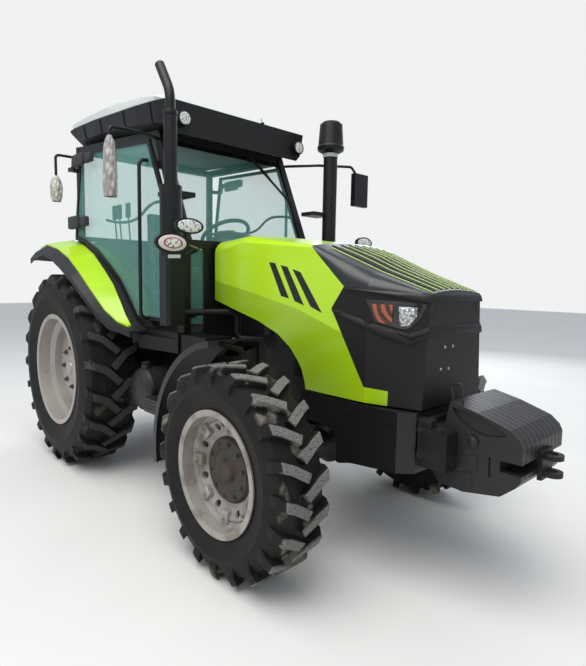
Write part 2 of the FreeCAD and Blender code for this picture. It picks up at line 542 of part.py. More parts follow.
# Outline of a slab, from the carrier's face forward
SLAB_OUTLINE = [(21, 988), (163, 957), (318, 908), (361, 872), (377, 840), (377, 690), (354, 656), (287, 598),
                (107, 565),
                (-22, 575), (-72, 640), (-60, 700), (0, 735), (0, 865)]
weight_outline = [(WEIGHT_REAR_X + x, z) for x, z in SLAB_OUTLINE]
weights = []
for k in range(WEIGHT_COUNT):
    y = (k - (WEIGHT_COUNT - 1) / 2) * WEIGHT_PITCH
    weights.append(side_plate(weight_outline, y - WEIGHT_THICK / 2, y + WEIGHT_THICK / 2))
weight_bar = rod((WEIGHT_REAR_X + 147, -STACK_HALF_Y - 7, 822), (WEIGHT_REAR_X + 147, STACK_HALF_Y + 7, 822),
                 16)


def slab_face(outline, depth, proud):
    """A pad or a pocket on the stack's outer face, from its depth in the slab to how far it stands proud."""
    return side_plate([(WEIGHT_REAR_X + x, z) for x, z in outline], STACK_HALF_Y - depth, STACK_HALF_Y + proud)


# Two blank pads, a slot, and an eye-shaped grip that is cut from two arcs
pads = [slab_face([(60, 735), (172, 760), (176, 688), (64, 660)], 2, 3),
        slab_face([(34, 642), (150, 672), (154, 604), (38, 570)], 2, 3)]
slot = slab_face([(226, 766), (238, 768), (240, 676), (228, 674)], 10, 5)
grip_ends = [Vector(WEIGHT_REAR_X + 32, STACK_HALF_Y - 14, 960),
             Vector(WEIGHT_REAR_X + 306, STACK_HALF_Y - 14, 882)]
grip_face = Part.Face(Part.Wire([
    Part.Arc(grip_ends[0], Vector(WEIGHT_REAR_X + 172, STACK_HALF_Y - 14, 938), grip_ends[1]).toShape(),
    Part.Arc(grip_ends[1], Vector(WEIGHT_REAR_X + 172, STACK_HALF_Y - 14, 862), grip_ends[0]).toShape()]))
grip = grip_face.extrude(Vector(0, 20, 0))
handle = bent_bar([(WEIGHT_REAR_X + 28, -205, 970), (WEIGHT_REAR_X + 8, -205, 1068),
                   (WEIGHT_REAR_X + 62, -205, 1076),
                   (WEIGHT_REAR_X + 78, -205, 965)], 6, 15)
pin_notch = box(WEIGHT_FRONT_X - 98, WEIGHT_FRONT_X + 10, -STACK_HALF_Y - 10, STACK_HALF_Y + 10, 712, 764)
stack = joined(*weights, weight_bar, handle, *both_sides(*pads))
node("front_weights", stack.cut(Part.makeCompound(both_sides(slot, grip) + [pin_notch])))
CLEVIS_TIP_X = WEIGHT_FRONT_X + 91
CLEVIS_HALF = 45.0
clevis_bolt = box(WEIGHT_FRONT_X + SEAT_GAP, WEIGHT_FRONT_X + 22, -60, 60, 662, 798)
ears = []
for z in (690.0, 770.0):
    ear = joined(box(WEIGHT_FRONT_X + 10, CLEVIS_TIP_X - CLEVIS_HALF, -CLEVIS_HALF, CLEVIS_HALF, z - 11,
                     z + 11),
                 rod((CLEVIS_TIP_X - CLEVIS_HALF, 0, z - 11), (CLEVIS_TIP_X - CLEVIS_HALF, 0, z + 11),
                     CLEVIS_HALF))
    ears.append(ear.cut(rod((CLEVIS_TIP_X - CLEVIS_HALF, 0, z - 40), (CLEVIS_TIP_X - CLEVIS_HALF, 0, z + 40),
                            20)))
node("weight_carrier", carrier)
node("tow_clevis", joined(clevis_bolt, *ears))

# Hood: a shell through cross sections; green behind and dark in front, hinged above its rear edge

HOOD_WALL = 10.0
HOOD_BOTTOM_Z = 925.0
HOOD_REAR_X = 130.0
HOOD_FRONT_X = COVER_FRONT_X + 10
HOOD_ROUND = 0.16
# x, half width low, half width and height of the shoulder, half width and height of the top edge, crown height
HOOD_SECTIONS = [
    (HOOD_REAR_X, 368.0, 368.0, 1728.0, 300.0, 1812.0, 1838.0),
    (450.0, 370.0, 370.0, 1790.0, 300.0, 1835.0, 1850.0),
    (FRONT_AXLE_X + 60, 372.0, 372.0, 1735.0, 345.0, 1752.0, 1778.0),
    (HOOD_FRONT_X - 445, 372.0, 372.0, 1523.0, 322.0, 1646.0, 1690.0),
    (HOOD_FRONT_X - 295, 368.0, 368.0, 1512.0, 292.0, 1592.0, 1625.0),
    (HOOD_FRONT_X - 35, 300.0, 272.0, 1496.0, 252.0, 1508.0, 1530.0),
    (HOOD_FRONT_X, 285.0, 245.0, 1490.0, 235.0, 1498.0, 1516.0),
]


def hood_section(x, inset, bottom):
    """The closed cross section of the hood at x: straight sides, round shoulders and a round crown."""
    stations = HOOD_SECTIONS
    for low, high in zip(stations, stations[1:]):
        if x <= high[0] or high is stations[-1]:
            share = (x - low[0]) / (high[0] - low[0])
            row = [a + (b - a) * share for a, b in zip(low, high)]
            break
    _, low_half, shoulder_half, shoulder_z, top_half, top_z, crown_z = row
    foot = (low_half - inset, bottom)
    shoulder = (shoulder_half - inset, shoulder_z - inset * 0.6)
    top = (top_half - inset * 0.6, top_z - inset)
    swell = ((shoulder[0] + top[0]) / 2 + (top[1] - shoulder[1]) * HOOD_ROUND,
             (shoulder[1] + top[1]) / 2 + (shoulder[0] - top[0]) * HOOD_ROUND)
    right = [Vector(x, -y, z) for y, z in (foot, shoulder, swell, top)]
    left = [Vector(x, y, z) for y, z in (foot, shoulder, swell, top)]
    return Part.Wire([
        Part.LineSegment(right[0], right[1]).toShape(),
        Part.Arc(right[1], right[2], right[3]).toShape(),
        Part.Arc(right[3], Vector(x, 0, crown_z - inset), left[3]).toShape(),
        Part.Arc(left[3], left[2], left[1]).toShape(),
        Part.LineSegment(left[1], left[0]).toShape(),
        Part.LineSegment(left[0], right[0]).toShape()])


def hood_body(stations, inset, bottom):
    """The hood's solid form through its stations, drawn in by the wall."""
    return Part.makeLoft([hood_section(x, inset, bottom) for x in stations], True, True)


hood_xs = [row[0] for row in HOOD_SECTIONS]
outer_hood = hood_body(hood_xs, 0, HOOD_BOTTOM_Z)
inner_hood = hood_body([HOOD_REAR_X - 30] + hood_xs[1:-1] + [HOOD_FRONT_X - HOOD_WALL], HOOD_WALL,
                       HOOD_BOTTOM_Z - 60)
# The side's lower edge over the front wheel, from the axle
ARCH_LINE = [(-1600, 1584), (-907, 1412), (-692, 1359), (-407, 1292), (-222, 1227), (-105, 1153), (-35, 1080),
             (-4, 1035),
             (25, 960), (36, 900), (36, 800), (-1600, 800)]
arch = side_plate([(FRONT_AXLE_X + x, z) for x, z in ARCH_LINE], -600, 600)
shell = outer_hood.cut(inner_hood).cut(arch)
# The dark nose begins at a slanted line, from the front
NOSE_LINE = [(-695, 1900), (-695, 1738), (-450, 1523), (-536, 1404), (-301, 1006), (-170, 1000), (-170, 800),
             (125, 800), (125, 1900)]
nose_side = side_plate([(HOOD_FRONT_X + x, z) for x, z in NOSE_LINE], -600, 600)
# A sharp lip runs down both sides of the nose and across its front: x from the front, y, height, outward x and y
LIP_STATIONS = [(-494, -376, 1391, 0, -1), (-62, -304, 1279, 0.3, -0.95), (2, -262, 1312, 0.8, -0.6),
                (4, 0, 1318, 1, 0)]
lip_right = skin_loft([
    [(HOOD_FRONT_X + x - 16 * out_x, y - 16 * out_y, z + 16),
     (HOOD_FRONT_X + x + 8 * out_x, y + 8 * out_y, z + 2),
     (HOOD_FRONT_X + x + 8 * out_x, y + 8 * out_y, z - 2),
     (HOOD_FRONT_X + x - 16 * out_x, y - 16 * out_y, z - 16)]
    for x, y, z, out_x, out_y in LIP_STATIONS])
HOOD_HINGE_X, HOOD_HINGE_Z = 125.0, 1792.0
HOOD_PIN_RADIUS = 9.0
hinge_lug = joined(
    rod((HOOD_HINGE_X, 205, HOOD_HINGE_Z), (HOOD_HINGE_X, 225, HOOD_HINGE_Z), 16),
    side_plate([(HOOD_HINGE_X + 2, HOOD_HINGE_Z - 14), (260, 1806), (260, 1828), (132, 1812),
                (HOOD_HINGE_X - 2, HOOD_HINGE_Z + 14)],
               205, 225))
hinge_lug = hinge_lug.cut(rod((HOOD_HINGE_X, 150, HOOD_HINGE_Z), (HOOD_HINGE_X, 260, HOOD_HINGE_Z),
                              HOOD_PIN_RADIUS + SHAFT_CLEARANCE))
node("nose", joined(shell.common(nose_side), *both_sides(lip_right)))
node("hood", joined(shell.cut(nose_side), *both_sides(hinge_lug)))
# The lamps lie on the nose's upper corners
LAMP_OUTLINE = [(-285, 1450), (-40, 1446), (-75, 1330), (-245, 1332)]
headlamp = side_plate([(HOOD_FRONT_X + x, z) for x, z in LAMP_OUTLINE], -COVER_HALF_Y, -200)
headlamp = headlamp.common(hood_body(hood_xs, -4, HOOD_BOTTOM_Z)).cut(outer_hood)
node("headlamps", *both_sides(headlamp))

# Cab: a hollow frame with a dark roof shell and a pale cap, fixed glass, and a rear-hinged door on each side

FLOOR_Z = 1180.0
FLOOR_THICK = 40.0
CAB_REAR_X = -1500.0
DOOR_REAR_X, DOOR_REAR_Y = -1450.0, 715.0
DOOR_FRONT_X, DOOR_FRONT_Y = 30.0, 605.0
COWL_Z = 1790.0
PILLAR_KNEE_X, PILLAR_TOP_X = 60.0, -285.0
PILLAR_FOOT_Y, PILLAR_TOP_Y = 598.0, 588.0
PILLAR_HALF = 30.0
HEADER_Z = 2590.0
RAIL_SLOPE = 0.056
RAIL_HEIGHT = 55.0
WALL_THICK = 15.0
FENDER_IN_Y = 545.0


def side_y(x):
    """The door plane's distance from the middle at x."""
    share = (x - DOOR_REAR_X) / (DOOR_FRONT_X - DOOR_REAR_X)
    return DOOR_REAR_Y + (DOOR_FRONT_Y - DOOR_REAR_Y) * share


def side_slab(outline, depth_out, depth_in):
    """A plate in the right door's plane, cut to an outline of (x, z) corners."""
    outer = [(x, -(side_y(x) + depth_out), z) for x, z in outline]
    inner = [(x, -(side_y(x) - depth_in), z) for x, z in outline]
    return skin_loft([outer, inner])


def front_pillar(z):
    """The front pillar's middle line: upright to the cowl, then leaning back."""
    if z <= COWL_Z:
        return PILLAR_KNEE_X
    return PILLAR_KNEE_X + (PILLAR_TOP_X - PILLAR_KNEE_X) * (z - COWL_Z) / (HEADER_Z - COWL_Z)


def rail_z(x):
    """The top of the roof rail at x."""
    return HEADER_Z - (x - PILLAR_TOP_X) * RAIL_SLOPE


def pillar_section(z, y):
    x = front_pillar(z)
    return [(x - PILLAR_HALF, -y - 5, z), (x + PILLAR_HALF, -y + 5, z), (x + PILLAR_HALF, -y + 60, z),
            (x - PILLAR_HALF, -y + 60, z)]


# The fender's lines over the rear wheel, from the rear tip to the sill: x, height beside the cab,
# half width and height at the panel's outer edge, half width and height of the rim's top
FENDER_STATIONS = [
    (-1840.0, 1705.0, 935.0, 1712.0, 985.0, 1706.0),
    (-1690.0, 1815.0, 940.0, 1790.0, 985.0, 1758.0),
    (-1530.0, 1862.0, 940.0, 1815.0, 985.0, 1774.0),
    (-1300.0, 1812.0, 935.0, 1775.0, 985.0, 1724.0),
    (-1090.0, 1728.0, 928.0, 1700.0, 985.0, 1644.0),
    (-895.0, 1605.0, 920.0, 1585.0, 980.0, 1547.0),
    (-730.0, 1490.0, 897.0, 1452.0, 955.0, 1422.0),
    (-610.0, 1365.0, 848.0, 1310.0, 910.0, 1298.0),
    (-520.0, 1262.0, 790.0, 1222.0, 860.0, 1214.0),
    (-435.0, 1196.0, 745.0, 1190.0, 800.0, 1186.0),
    (-360.0, 1170.0, 735.0, 1168.0, 770.0, 1164.0),
]
FENDER_EDGE_Y = 722.0
FENDER_WALL = 20.0
RIM_DROP = 42.0


def fender_z(x):
    """The fender's height beside the cab at x."""
    for low, high in zip(FENDER_STATIONS, FENDER_STATIONS[1:]):
        if x <= high[0]:
            return low[1] + (high[1] - low[1]) * (x - low[0]) / (high[0] - low[0])
    return FENDER_STATIONS[-1][1]


def fender_section(x, z_cab, y_panel, z_panel, y_rim, z_rim):
    """One closed cross section of the fender: its top, its rim and its underside."""
    y_cab = FENDER_IN_Y
    top = [(x, -y_cab, z_cab), (x, -FENDER_EDGE_Y, z_cab - 2), (x, -y_panel, z_panel), (x, -y_rim, z_rim),
           (x, -y_rim, z_rim - RIM_DROP)]
    under = [(x, -y_rim + 10, z_rim - RIM_DROP), (x, -y_rim + 10, z_rim - FENDER_WALL),
             (x, -y_panel + 4, z_panel - FENDER_WALL),
             (x, -FENDER_EDGE_Y, z_cab - FENDER_WALL - 2), (x, -y_cab, z_cab - FENDER_WALL)]
    return top + under


fender = skin_loft([fender_section(*row) for row in FENDER_STATIONS])
wall_top = [(row[0], row[1] - 8) for row in FENDER_STATIONS[1:-1]]
inner_wall = side_plate(wall_top + [(-435, 1120), (-640, 1120), (-1500, 1250), (-1690, 1560)],
                        -FENDER_IN_Y - WALL_THICK, -FENDER_IN_Y)
fender = joined(fender, inner_wall)
node("fenders", *both_sides(fender))


def panel_section(x, z_cab, y_panel, z_panel):
    """One closed cross section of the coloured panel that lies on the fender."""
    lift = 12
    return [(x, -FENDER_EDGE_Y, z_cab - 2 + SEAT_GAP), (x, -y_panel, z_panel + SEAT_GAP),
            (x, -y_panel, z_panel + lift),
            (x, -FENDER_EDGE_Y, z_cab - 2 + lift)]


node("fender_panels", *both_sides(skin_loft([panel_section(*row[:4]) for row in FENDER_STATIONS[1:-1]])))

a_pillar = skin_loft([pillar_section(FLOOR_Z - FLOOR_THICK, PILLAR_FOOT_Y),
                      pillar_section(COWL_Z, PILLAR_FOOT_Y),
                      pillar_section(HEADER_Z, PILLAR_TOP_Y)])
c_pillar = skin_loft([
    [(CAB_REAR_X, -690, z), (CAB_REAR_X, -640, z), (CAB_REAR_X + 45, -640, z), (CAB_REAR_X + 45, -690, z)]
    for z in (fender_z(CAB_REAR_X) + SEAT_GAP, rail_z(CAB_REAR_X))])
side_rail = skin_loft([
    [(x, -y, rail_z(x) - RAIL_HEIGHT), (x, -y + 60, rail_z(x) - RAIL_HEIGHT), (x, -y + 60, rail_z(x)),
     (x, -y, rail_z(x))]
    for x, y in ((CAB_REAR_X, 690), (PILLAR_TOP_X + PILLAR_HALF, 586))])
floor = joined(box(-480, 90, -640, 640, FLOOR_Z - FLOOR_THICK, FLOOR_Z),
               box(CAB_REAR_X, -400, -FENDER_IN_Y, FENDER_IN_Y, FLOOR_Z - FLOOR_THICK, FLOOR_Z))
bulkhead = box(60, 90, -430, 430, FLOOR_Z, COWL_Z)
seat_box = box(CAB_REAR_X, -820, -400, 400, FLOOR_Z, 1420)
back_wall = joined(box(CAB_REAR_X, CAB_REAR_X + 25, -FENDER_IN_Y, FENDER_IN_Y, FLOOR_Z, 1875),
                   box(CAB_REAR_X, CAB_REAR_X + 25, -670, 670, 1863, 1905))
cowl = box(25, 92, -560, 560, COWL_Z - 30, COWL_Z + 25)
front_header = box(PILLAR_TOP_X - PILLAR_HALF, PILLAR_TOP_X + PILLAR_HALF, -560, 560, HEADER_Z - RAIL_HEIGHT,
                   HEADER_Z)
rear_top = rail_z(CAB_REAR_X)
back_header = box(CAB_REAR_X, CAB_REAR_X + 45, -650, 650, rear_top - RAIL_HEIGHT, rear_top)
sill = plan_plate([(90, -640), (-350, -700), (-480, -640), (-480, -560), (90, -560)], FLOOR_Z - 135,
                  FLOOR_Z - FLOOR_THICK)
hood_hinge = joined(
    box(90, HOOD_HINGE_X, 180, 203, HOOD_HINGE_Z - 30, HOOD_HINGE_Z + 4),
    rod((HOOD_HINGE_X, 180, HOOD_HINGE_Z), (HOOD_HINGE_X, 203, HOOD_HINGE_Z), 12.5),
    rod((HOOD_HINGE_X, 180, HOOD_HINGE_Z), (HOOD_HINGE_X, 232, HOOD_HINGE_Z), HOOD_PIN_RADIUS))
base_beam = box(-60, 90, -600, 600, FLOOR_Z - 135, FLOOR_Z - FLOOR_THICK)
# The closed box on each side below the front pillar
skirt = side_plate([(-60, 1045), (-60, 1175), (400, 1175), (400, 1110), (330, 1045)], -625, -430)

# The door hinges lean forward with the rear pillar: a fixed bracket below, and the door's own barrel above it
HINGE_LEAN = math.radians(10.0)
HINGE_X, HINGE_Y, HINGE_Z = -1425.0, 752.0, 2300.0
HINGE_AXIS = Vector(math.sin(HINGE_LEAN), 0, math.cos(HINGE_LEAN))


def hinge_point(z):
    return (HINGE_X + (z - HINGE_Z) * math.tan(HINGE_LEAN), -HINGE_Y, z)


brackets, barrels = [], []
DOOR_PIN_RADIUS = 8.0
for z in (1990.0, 2470.0):
    x = hinge_point(z)[0]
    pin = rod(hinge_point(z), hinge_point(z + 60), DOOR_PIN_RADIUS)
    pin_bore = rod(hinge_point(z), hinge_point(z + 62), DOOR_PIN_RADIUS + SHAFT_CLEARANCE)
    bracket = joined(rod(hinge_point(z - 30), hinge_point(z + 10), 20),
                     box(CAB_REAR_X + 2, x, -HINGE_Y - 12, -HINGE_Y + 12, z - 25, z + 5),
                     box(CAB_REAR_X + 2, CAB_REAR_X + 38, -HINGE_Y - 12, -660, z - 25, z + 5))
    brackets.append(joined(bracket, pin))
    door_x = hinge_point(z + 40)[0]
    barrel = joined(rod(hinge_point(z + 12), hinge_point(z + 70), 20),
                    box(door_x, door_x + 50, -HINGE_Y - 10, -HINGE_Y + 10, z + 20, z + 60),
                    box(door_x + 20, door_x + 50, -HINGE_Y - 10, -side_y(door_x + 40), z + 20, z + 60))
    barrels.append(barrel.cut(pin_bore))
cab_frame = joined(floor, bulkhead, seat_box, back_wall, cowl, front_header, back_header, base_beam,
                   *both_sides(a_pillar, c_pillar, side_rail, sill, skirt, hood_hinge, *brackets))
cab_frame = cab_frame.cut(Part.makeCompound(both_sides(fender)))
node("cab_frame", cab_frame)

# Doors: a slim frame round one tall pane, with the lower edge above the fender
DOOR_GAP = 8.0
DOOR_CLEAR = 26.0
DOOR_THICK = 24.0
FRAME_BAND = 26.0
DOOR_SILL_Z = 1245.0
DOOR_CORNERS = [(-1300.0, DOOR_CLEAR), (-1090.0, DOOR_CLEAR), (-895.0, DOOR_CLEAR), (-730.0, DOOR_CLEAR),
                (-610.0, DOOR_CLEAR),
                (-530.0, DOOR_CLEAR)]


def door_outline(inset):
    """The door's outline of (x, z) corners, drawn in all round."""
    top = rail_z(-1345) - RAIL_HEIGHT - DOOR_GAP - inset
    corners = [(-1345 + inset, top), (-1440 + inset, 2060),
               (-1462 + inset, fender_z(-1462) + DOOR_CLEAR + inset)]
    corners += [(x + inset * 0.3, fender_z(x) + clear + inset * 1.2) for x, clear in DOOR_CORNERS]
    front = front_pillar(COWL_Z) - PILLAR_HALF - DOOR_GAP - inset
    corners += [(-485 + inset * 0.4, DOOR_SILL_Z + inset), (front, DOOR_SILL_Z + inset), (front, COWL_Z)]
    top_front = HEADER_Z - RAIL_HEIGHT - DOOR_GAP - inset
    corners.append((front_pillar(top_front) - PILLAR_HALF - DOOR_GAP - inset * 1.3, top_front))
    return corners


door_frame = side_slab(door_outline(0), 12, DOOR_THICK - 12).cut(side_slab(door_outline(FRAME_BAND), 40, 60))
door_glass = side_slab(door_outline(FRAME_BAND + SEAT_GAP), 3, 3)
GRAB_X, GRAB_OUT = -320.0, 70.0
grab_y = -side_y(GRAB_X)
grab = bent_bar([(GRAB_X, grab_y - 5, 2380), (GRAB_X, grab_y - GRAB_OUT, 2380),
                 (GRAB_X, grab_y - GRAB_OUT, 1262),
                 (GRAB_X, grab_y - 5, 1262)], 13, 45)
door_frame = joined(door_frame, grab, *barrels)
node("door_frame_right", door_frame)
node("door_frame_left", mirrored(door_frame))
node("door_glass_right", door_glass)
node("door_glass_left", mirrored(door_glass))


# Fixed glass: the windscreen, two corner panes beside the hood and the rear window
def screen_section(z):
    x, half = front_pillar(z) + 12, 534 - (z - COWL_Z) * 0.012
    return [(x, -half, z), (x, half, z), (x + 6, half, z), (x + 6, -half, z)]


windscreen = skin_loft([screen_section(COWL_Z + 25 + SEAT_GAP),
                        screen_section(HEADER_Z - RAIL_HEIGHT - SEAT_GAP)])
node("windscreen", windscreen)
corner_pane = box(66, 72, -537, -430 - SEAT_GAP, FLOOR_Z + 60, COWL_Z - 30 - SEAT_GAP)
back_pane = box(CAB_REAR_X + 10, CAB_REAR_X + 16, -629, 629, 1905 + SEAT_GAP, rear_top - RAIL_HEIGHT - SEAT_GAP)
node("cab_windows", back_pane, *both_sides(corner_pane))

# Roof shell: x, half width of the seat on the rails and its rise above them, half width and height
# of the band's foot, and half width and height of its top
ROOF_STATIONS = [
    (-1590.0, 600.0, 112.0, 690.0, 2790.0, 702.0, 2812.0),
    (-1490.0, 600.0, 0.0, 668.0, 2712.0, 700.0, 2818.0),
    (-1100.0, 600.0, 0.0, 678.0, 2692.0, 700.0, 2803.0),
    (-420.0, 590.0, 0.0, 660.0, 2640.0, 684.0, 2763.0),
    (-180.0, 560.0, 0.0, 640.0, 2610.0, 660.0, 2752.0),
    (-60.0, 560.0, -42.0, 600.0, 2575.0, 630.0, 2748.0),
    (-30.0, 540.0, -46.0, 580.0, 2575.0, 610.0, 2745.0),
]


def roof_section(x, y_seat, rise, y_low, z_low, y_high, z_high):
    half = [(y_seat, rail_z(x) + SEAT_GAP + rise), (y_low, z_low), (y_high, z_high)]
    return [(x, -y, z) for y, z in half] + [(x, y, z) for y, z in reversed(half)]


cab_roof = skin_loft([roof_section(*row) for row in ROOF_STATIONS]).cut(cab_frame)
node("cab_roof", cab_roof)
# Roof cap: x, half width and height of its shoulder, half width and height of its flat top
CAP_STATIONS = [
    (-1560.0, 690.0, 2860.0, 560.0, 2880.0),
    (-1250.0, 690.0, 2862.0, 520.0, 2935.0),
    (-750.0, 680.0, 2850.0, 520.0, 2925.0),
    (-350.0, 655.0, 2815.0, 500.0, 2870.0),
    (-200.0, 640.0, 2790.0, 480.0, 2800.0),
]


def cap_section(x, y_low, z_low, y_top, z_top):
    half = [(y_low, 2700), (y_low, z_low), (y_top, z_top)]
    return [(x, -y, z) for y, z in half] + [(x, y, z) for y, z in reversed(half)]


roof_cap = skin_loft([cap_section(*row) for row in CAP_STATIONS])
grown_roof = skin_loft([roof_section(*row) for row in ROOF_STATIONS])
grown_roof.translate(Vector(0, 0, SEAT_GAP))
roof_cap = roof_cap.cut(grown_roof)
roof_cap = max(roof_cap.Solids, key=lambda solid: solid.BoundBox.ZMax)
node("roof_cap", roof_cap)

# Inside the cab
seat = joined(
    box(-1120, -620, -240, 240, 1530, 1630), box(-1200, -1090, -230, 230, 1600, 2160),
    box(-1060, -850, -150, 150, 1420 + SEAT_GAP, 1530))
node("seat", seat)
console = skin_loft([
    [(60, -200, FLOOR_Z), (-90, -180, FLOOR_Z), (-90, 180, FLOOR_Z), (60, 200, FLOOR_Z)],
    [(60, -300, COWL_Z - 32), (-80, -230, 1700), (-80, 230, 1700), (60, 300, COWL_Z - 32)]])
column_top = Vector(-260, 0, 1900)
column = rod((-40, 0, 1560), tuple(column_top), 34)
wheel_ring = Part.makeTorus(190, 15, column_top, Vector(-220, 0, 340))
spoke = rod((-260, -188, 1900), (-260, 188, 1900), 10)
controls = joined(console, column, wheel_ring, spoke).cut(cab_frame)
node("controls", controls)

# Exhaust and air intake stacks, each on brackets in front of its pillar
STACK_X = 185.0
STACK_Y = 742.0
exhaust = joined(
    rod((STACK_X, -STACK_Y, 1700), (STACK_X, -STACK_Y, 2130), 70),
    rod((STACK_X, -STACK_Y, 2130), (STACK_X, -STACK_Y, 2580), 42),
    bent_bar([(STACK_X, -STACK_Y, 2580), (STACK_X, -STACK_Y, 2700), (STACK_X - 127, -STACK_Y, 2895)], 31, 200),
    # The lower half stands in a square heat guard
    plan_plate([(STACK_X - 62, -STACK_Y - 42), (STACK_X - 42, -STACK_Y - 62), (STACK_X + 42, -STACK_Y - 62),
                (STACK_X + 62, -STACK_Y - 42), (STACK_X + 62, -STACK_Y + 62), (STACK_X - 62, -STACK_Y + 62)],
               1250, 1720),
    box(80, STACK_X, -STACK_Y, -560, 1290, 1320),
    box(20, STACK_X, -STACK_Y, -560, 2080, 2110),
    bent_bar([(STACK_X, -STACK_Y, 1330), (300, -300, 1330), (300, -300, 1150),
              (ENGINE_REAR_X + 20, -190, 1150)], 22, 45))
exhaust = exhaust.cut(cab_frame).cut(engine)
node("exhaust", exhaust)
INTAKE_X = 165.0
intake = joined(
    rod((INTAKE_X, STACK_Y, 1150), (INTAKE_X, STACK_Y, 2600), 57),
    turned([(0, 0), (0, 70), (20, 105), (45, 112), (60, 104), (225, 92), (245, 70), (245, 0)],
           (INTAKE_X, STACK_Y, 2590), (0, 0, 1)),
    box(20, INTAKE_X, 560, STACK_Y, 2080, 2110),
    box(80, INTAKE_X, 560, STACK_Y, 1290, 1320))
intake = intake.cut(cab_frame)
node("air_intake", intake)

# A round fuel tank lies across below the cab on the right, with a ribbed battery box in front of it
TANK_X, TANK_Z, TANK_RADIUS = -220.0, 765.0, 152.0
TANK_OUT_Y = -795.0
TANK_LENGTH = 500.0
tank_body = turned(
    [(0, 0), (4, 70), (18, 118), (42, TANK_RADIUS - 6), (60, TANK_RADIUS), (TANK_LENGTH - 60, TANK_RADIUS),
     (TANK_LENGTH - 20, 120), (TANK_LENGTH, 0)], (TANK_X, TANK_OUT_Y, TANK_Z), (0, 1, 0))
straps = [turned([(y, TANK_RADIUS - 4), (y, TANK_RADIUS + 4), (y + 30, TANK_RADIUS + 4),
                  (y + 30, TANK_RADIUS - 4)],
                 (TANK_X, TANK_OUT_Y, TANK_Z), (0, 1, 0)) for y in (120.0, 370.0)]
filler = rod((TANK_X, TANK_OUT_Y + 80, TANK_Z), (TANK_X, TANK_OUT_Y + 80, TANK_Z + TANK_RADIUS + 22), 34)
tank_arm = box(TANK_X - 60, TANK_X + 60, -440, -180, TANK_Z + TANK_RADIUS - 12, TANK_Z + TANK_RADIUS + 48)
BATTERY_X0, BATTERY_X1 = TANK_X + 168, TANK_X + 375
battery_box = box(BATTERY_X0, BATTERY_X1, -820, -560, 650, 746)
battery_ribs = [box(BATTERY_X0 + 8, BATTERY_X1 - 8, -825, -815, z, z + 8) for z in (672.0, 696.0, 720.0)]
battery_arm = box(TANK_X + 100, BATTERY_X0 + 30, -640, -590, 690, 730)
tank = joined(tank_body, *straps, filler, tank_arm, battery_box, *battery_ribs, battery_arm)
node("fuel_tank", tank.cut(NODES["gearbox"]))
STEP_Z = 430.0
sill_foot = FLOOR_Z - 135 - SEAT_GAP
left_step = joined(
    box(-120, 190, 600, 870, STEP_Z, STEP_Z + 25), box(-120, 190, 600, 870, 740, 765),
                   box(-120, -100, 600, 640, STEP_Z, sill_foot),
    box(70, 90, 600, 640, STEP_Z, sill_foot))
node("steps", left_step)

# Mirrors: a bare one on the left, a wrapped one on the right and a wrapped lamp arm at the right rear
mirror_arm = bent_bar([(-230, 590, 2520), (-20, 790, 2530), (150, MIRROR_REACH_Y - 115, 2530),
                       (215, MIRROR_REACH_Y - 85, 2420)], 11, 30)
mirror_head = box(200, 245, MIRROR_REACH_Y - 170, MIRROR_REACH_Y, 2190, 2460)
mirror_left = joined(mirror_arm, mirror_head)
node("mirror_left", mirror_left.cut(cab_frame).cut(cab_roof))
arm_right = bent_bar([(-230, -590, 2520), (0, -850, 2470), (50, -1075, 2450), (50, -1075, 2340)], 11, 30)
arm_rear = bent_bar([(-1480, -660, 2570), (-1490, -865, 2570), (-1490, -865, 2380)], 11, 30)
arm_right = arm_right.cut(cab_frame).cut(cab_roof)
arm_rear = arm_rear.cut(cab_frame)
node("mirror_arms_right", arm_right, arm_rear)
wrap_front = skin_loft([[(50 - a, -1075 - b, z), (50 + a, -1075 - b, z), (50 + a, -1075 + b, z),
                         (50 - a, -1075 + b, z)]
                        for z, a, b in ((2035, 35, 40), (2080, 48, 46), (2250, 44, 42), (2370, 26, 28))])
wrap_rear = skin_loft([[(-1490 - a, -865 - b, z), (-1490 + a, -865 - b, z), (-1490 + a, -865 + b, z),
                        (-1490 - a, -865 + b, z)]
                       for z, a, b in ((2180, 35, 35), (2230, 58, 55), (2340, 58, 55), (2400, 35, 30))])
node("mirror_wraps", wrap_front.cut(arm_right), wrap_rear.cut(arm_rear))

# Lamps: two under the visor, and a work lamp and an oval marker lamp on an arm beside each front pillar
lamps = []
for y in (-530.0, 530.0):
    lamps.append(turned([(-60, 0), (-60, 30), (-20, 48), (0, 52), (0, 0)], (10, y, 2625),
                        (1, 0, 0)).cut(cab_roof))
lamp_arm = bent_bar([(80, -600, 1700), (310, -625, 1735), (430, -770, 1748), (455, -930, 1748)], 12, 30)
# The lamps' oval housings: x, y, height, half width, half height
HOUSINGS = [(500.0, -800.0, 1856.0, 95.0, 46.0), (498.0, -912.0, 1751.0, 107.0, 58.0)]
work_lamps = [Part.makeLoft([oval((x - 65, y, z), half_y * 0.45, half_z * 0.5),
                             oval((x - 20, y, z), half_y, half_z),
                             oval((x, y, z), half_y, half_z)], True, True) for x, y, z, half_y,
              half_z in HOUSINGS]
lamp_post = rod((440, -800, 1750), (465, -800, 1850), 10)
lamp_set = joined(lamp_arm, lamp_post, *work_lamps).cut(cab_frame)
node("work_lamps", *lamps, *both_sides(lamp_set))

# Three-point linkage: lower links and lift arms turn together as a parallelogram, with a lift rod between them
HITCH_PIVOT_X, HITCH_PIVOT_Z = -1570.0, 500.0
LIFT_SHAFT_X, LIFT_SHAFT_Z = -1660.0, 1020.0
LIFT_REACH = 340.0
LINK_END_X = REAR_TIP_X + 32.0
LINK_END_Z = 510.0
LINK_Y_FRONT, LINK_Y_REAR = 330.0, 410.0
LINK_THICK = 22.0
LINK_HALF_HEIGHT = 32.0
BALL_RADIUS = 14.3
ARM_Y = 235.0
ROD_EYE_RADIUS = 24.0


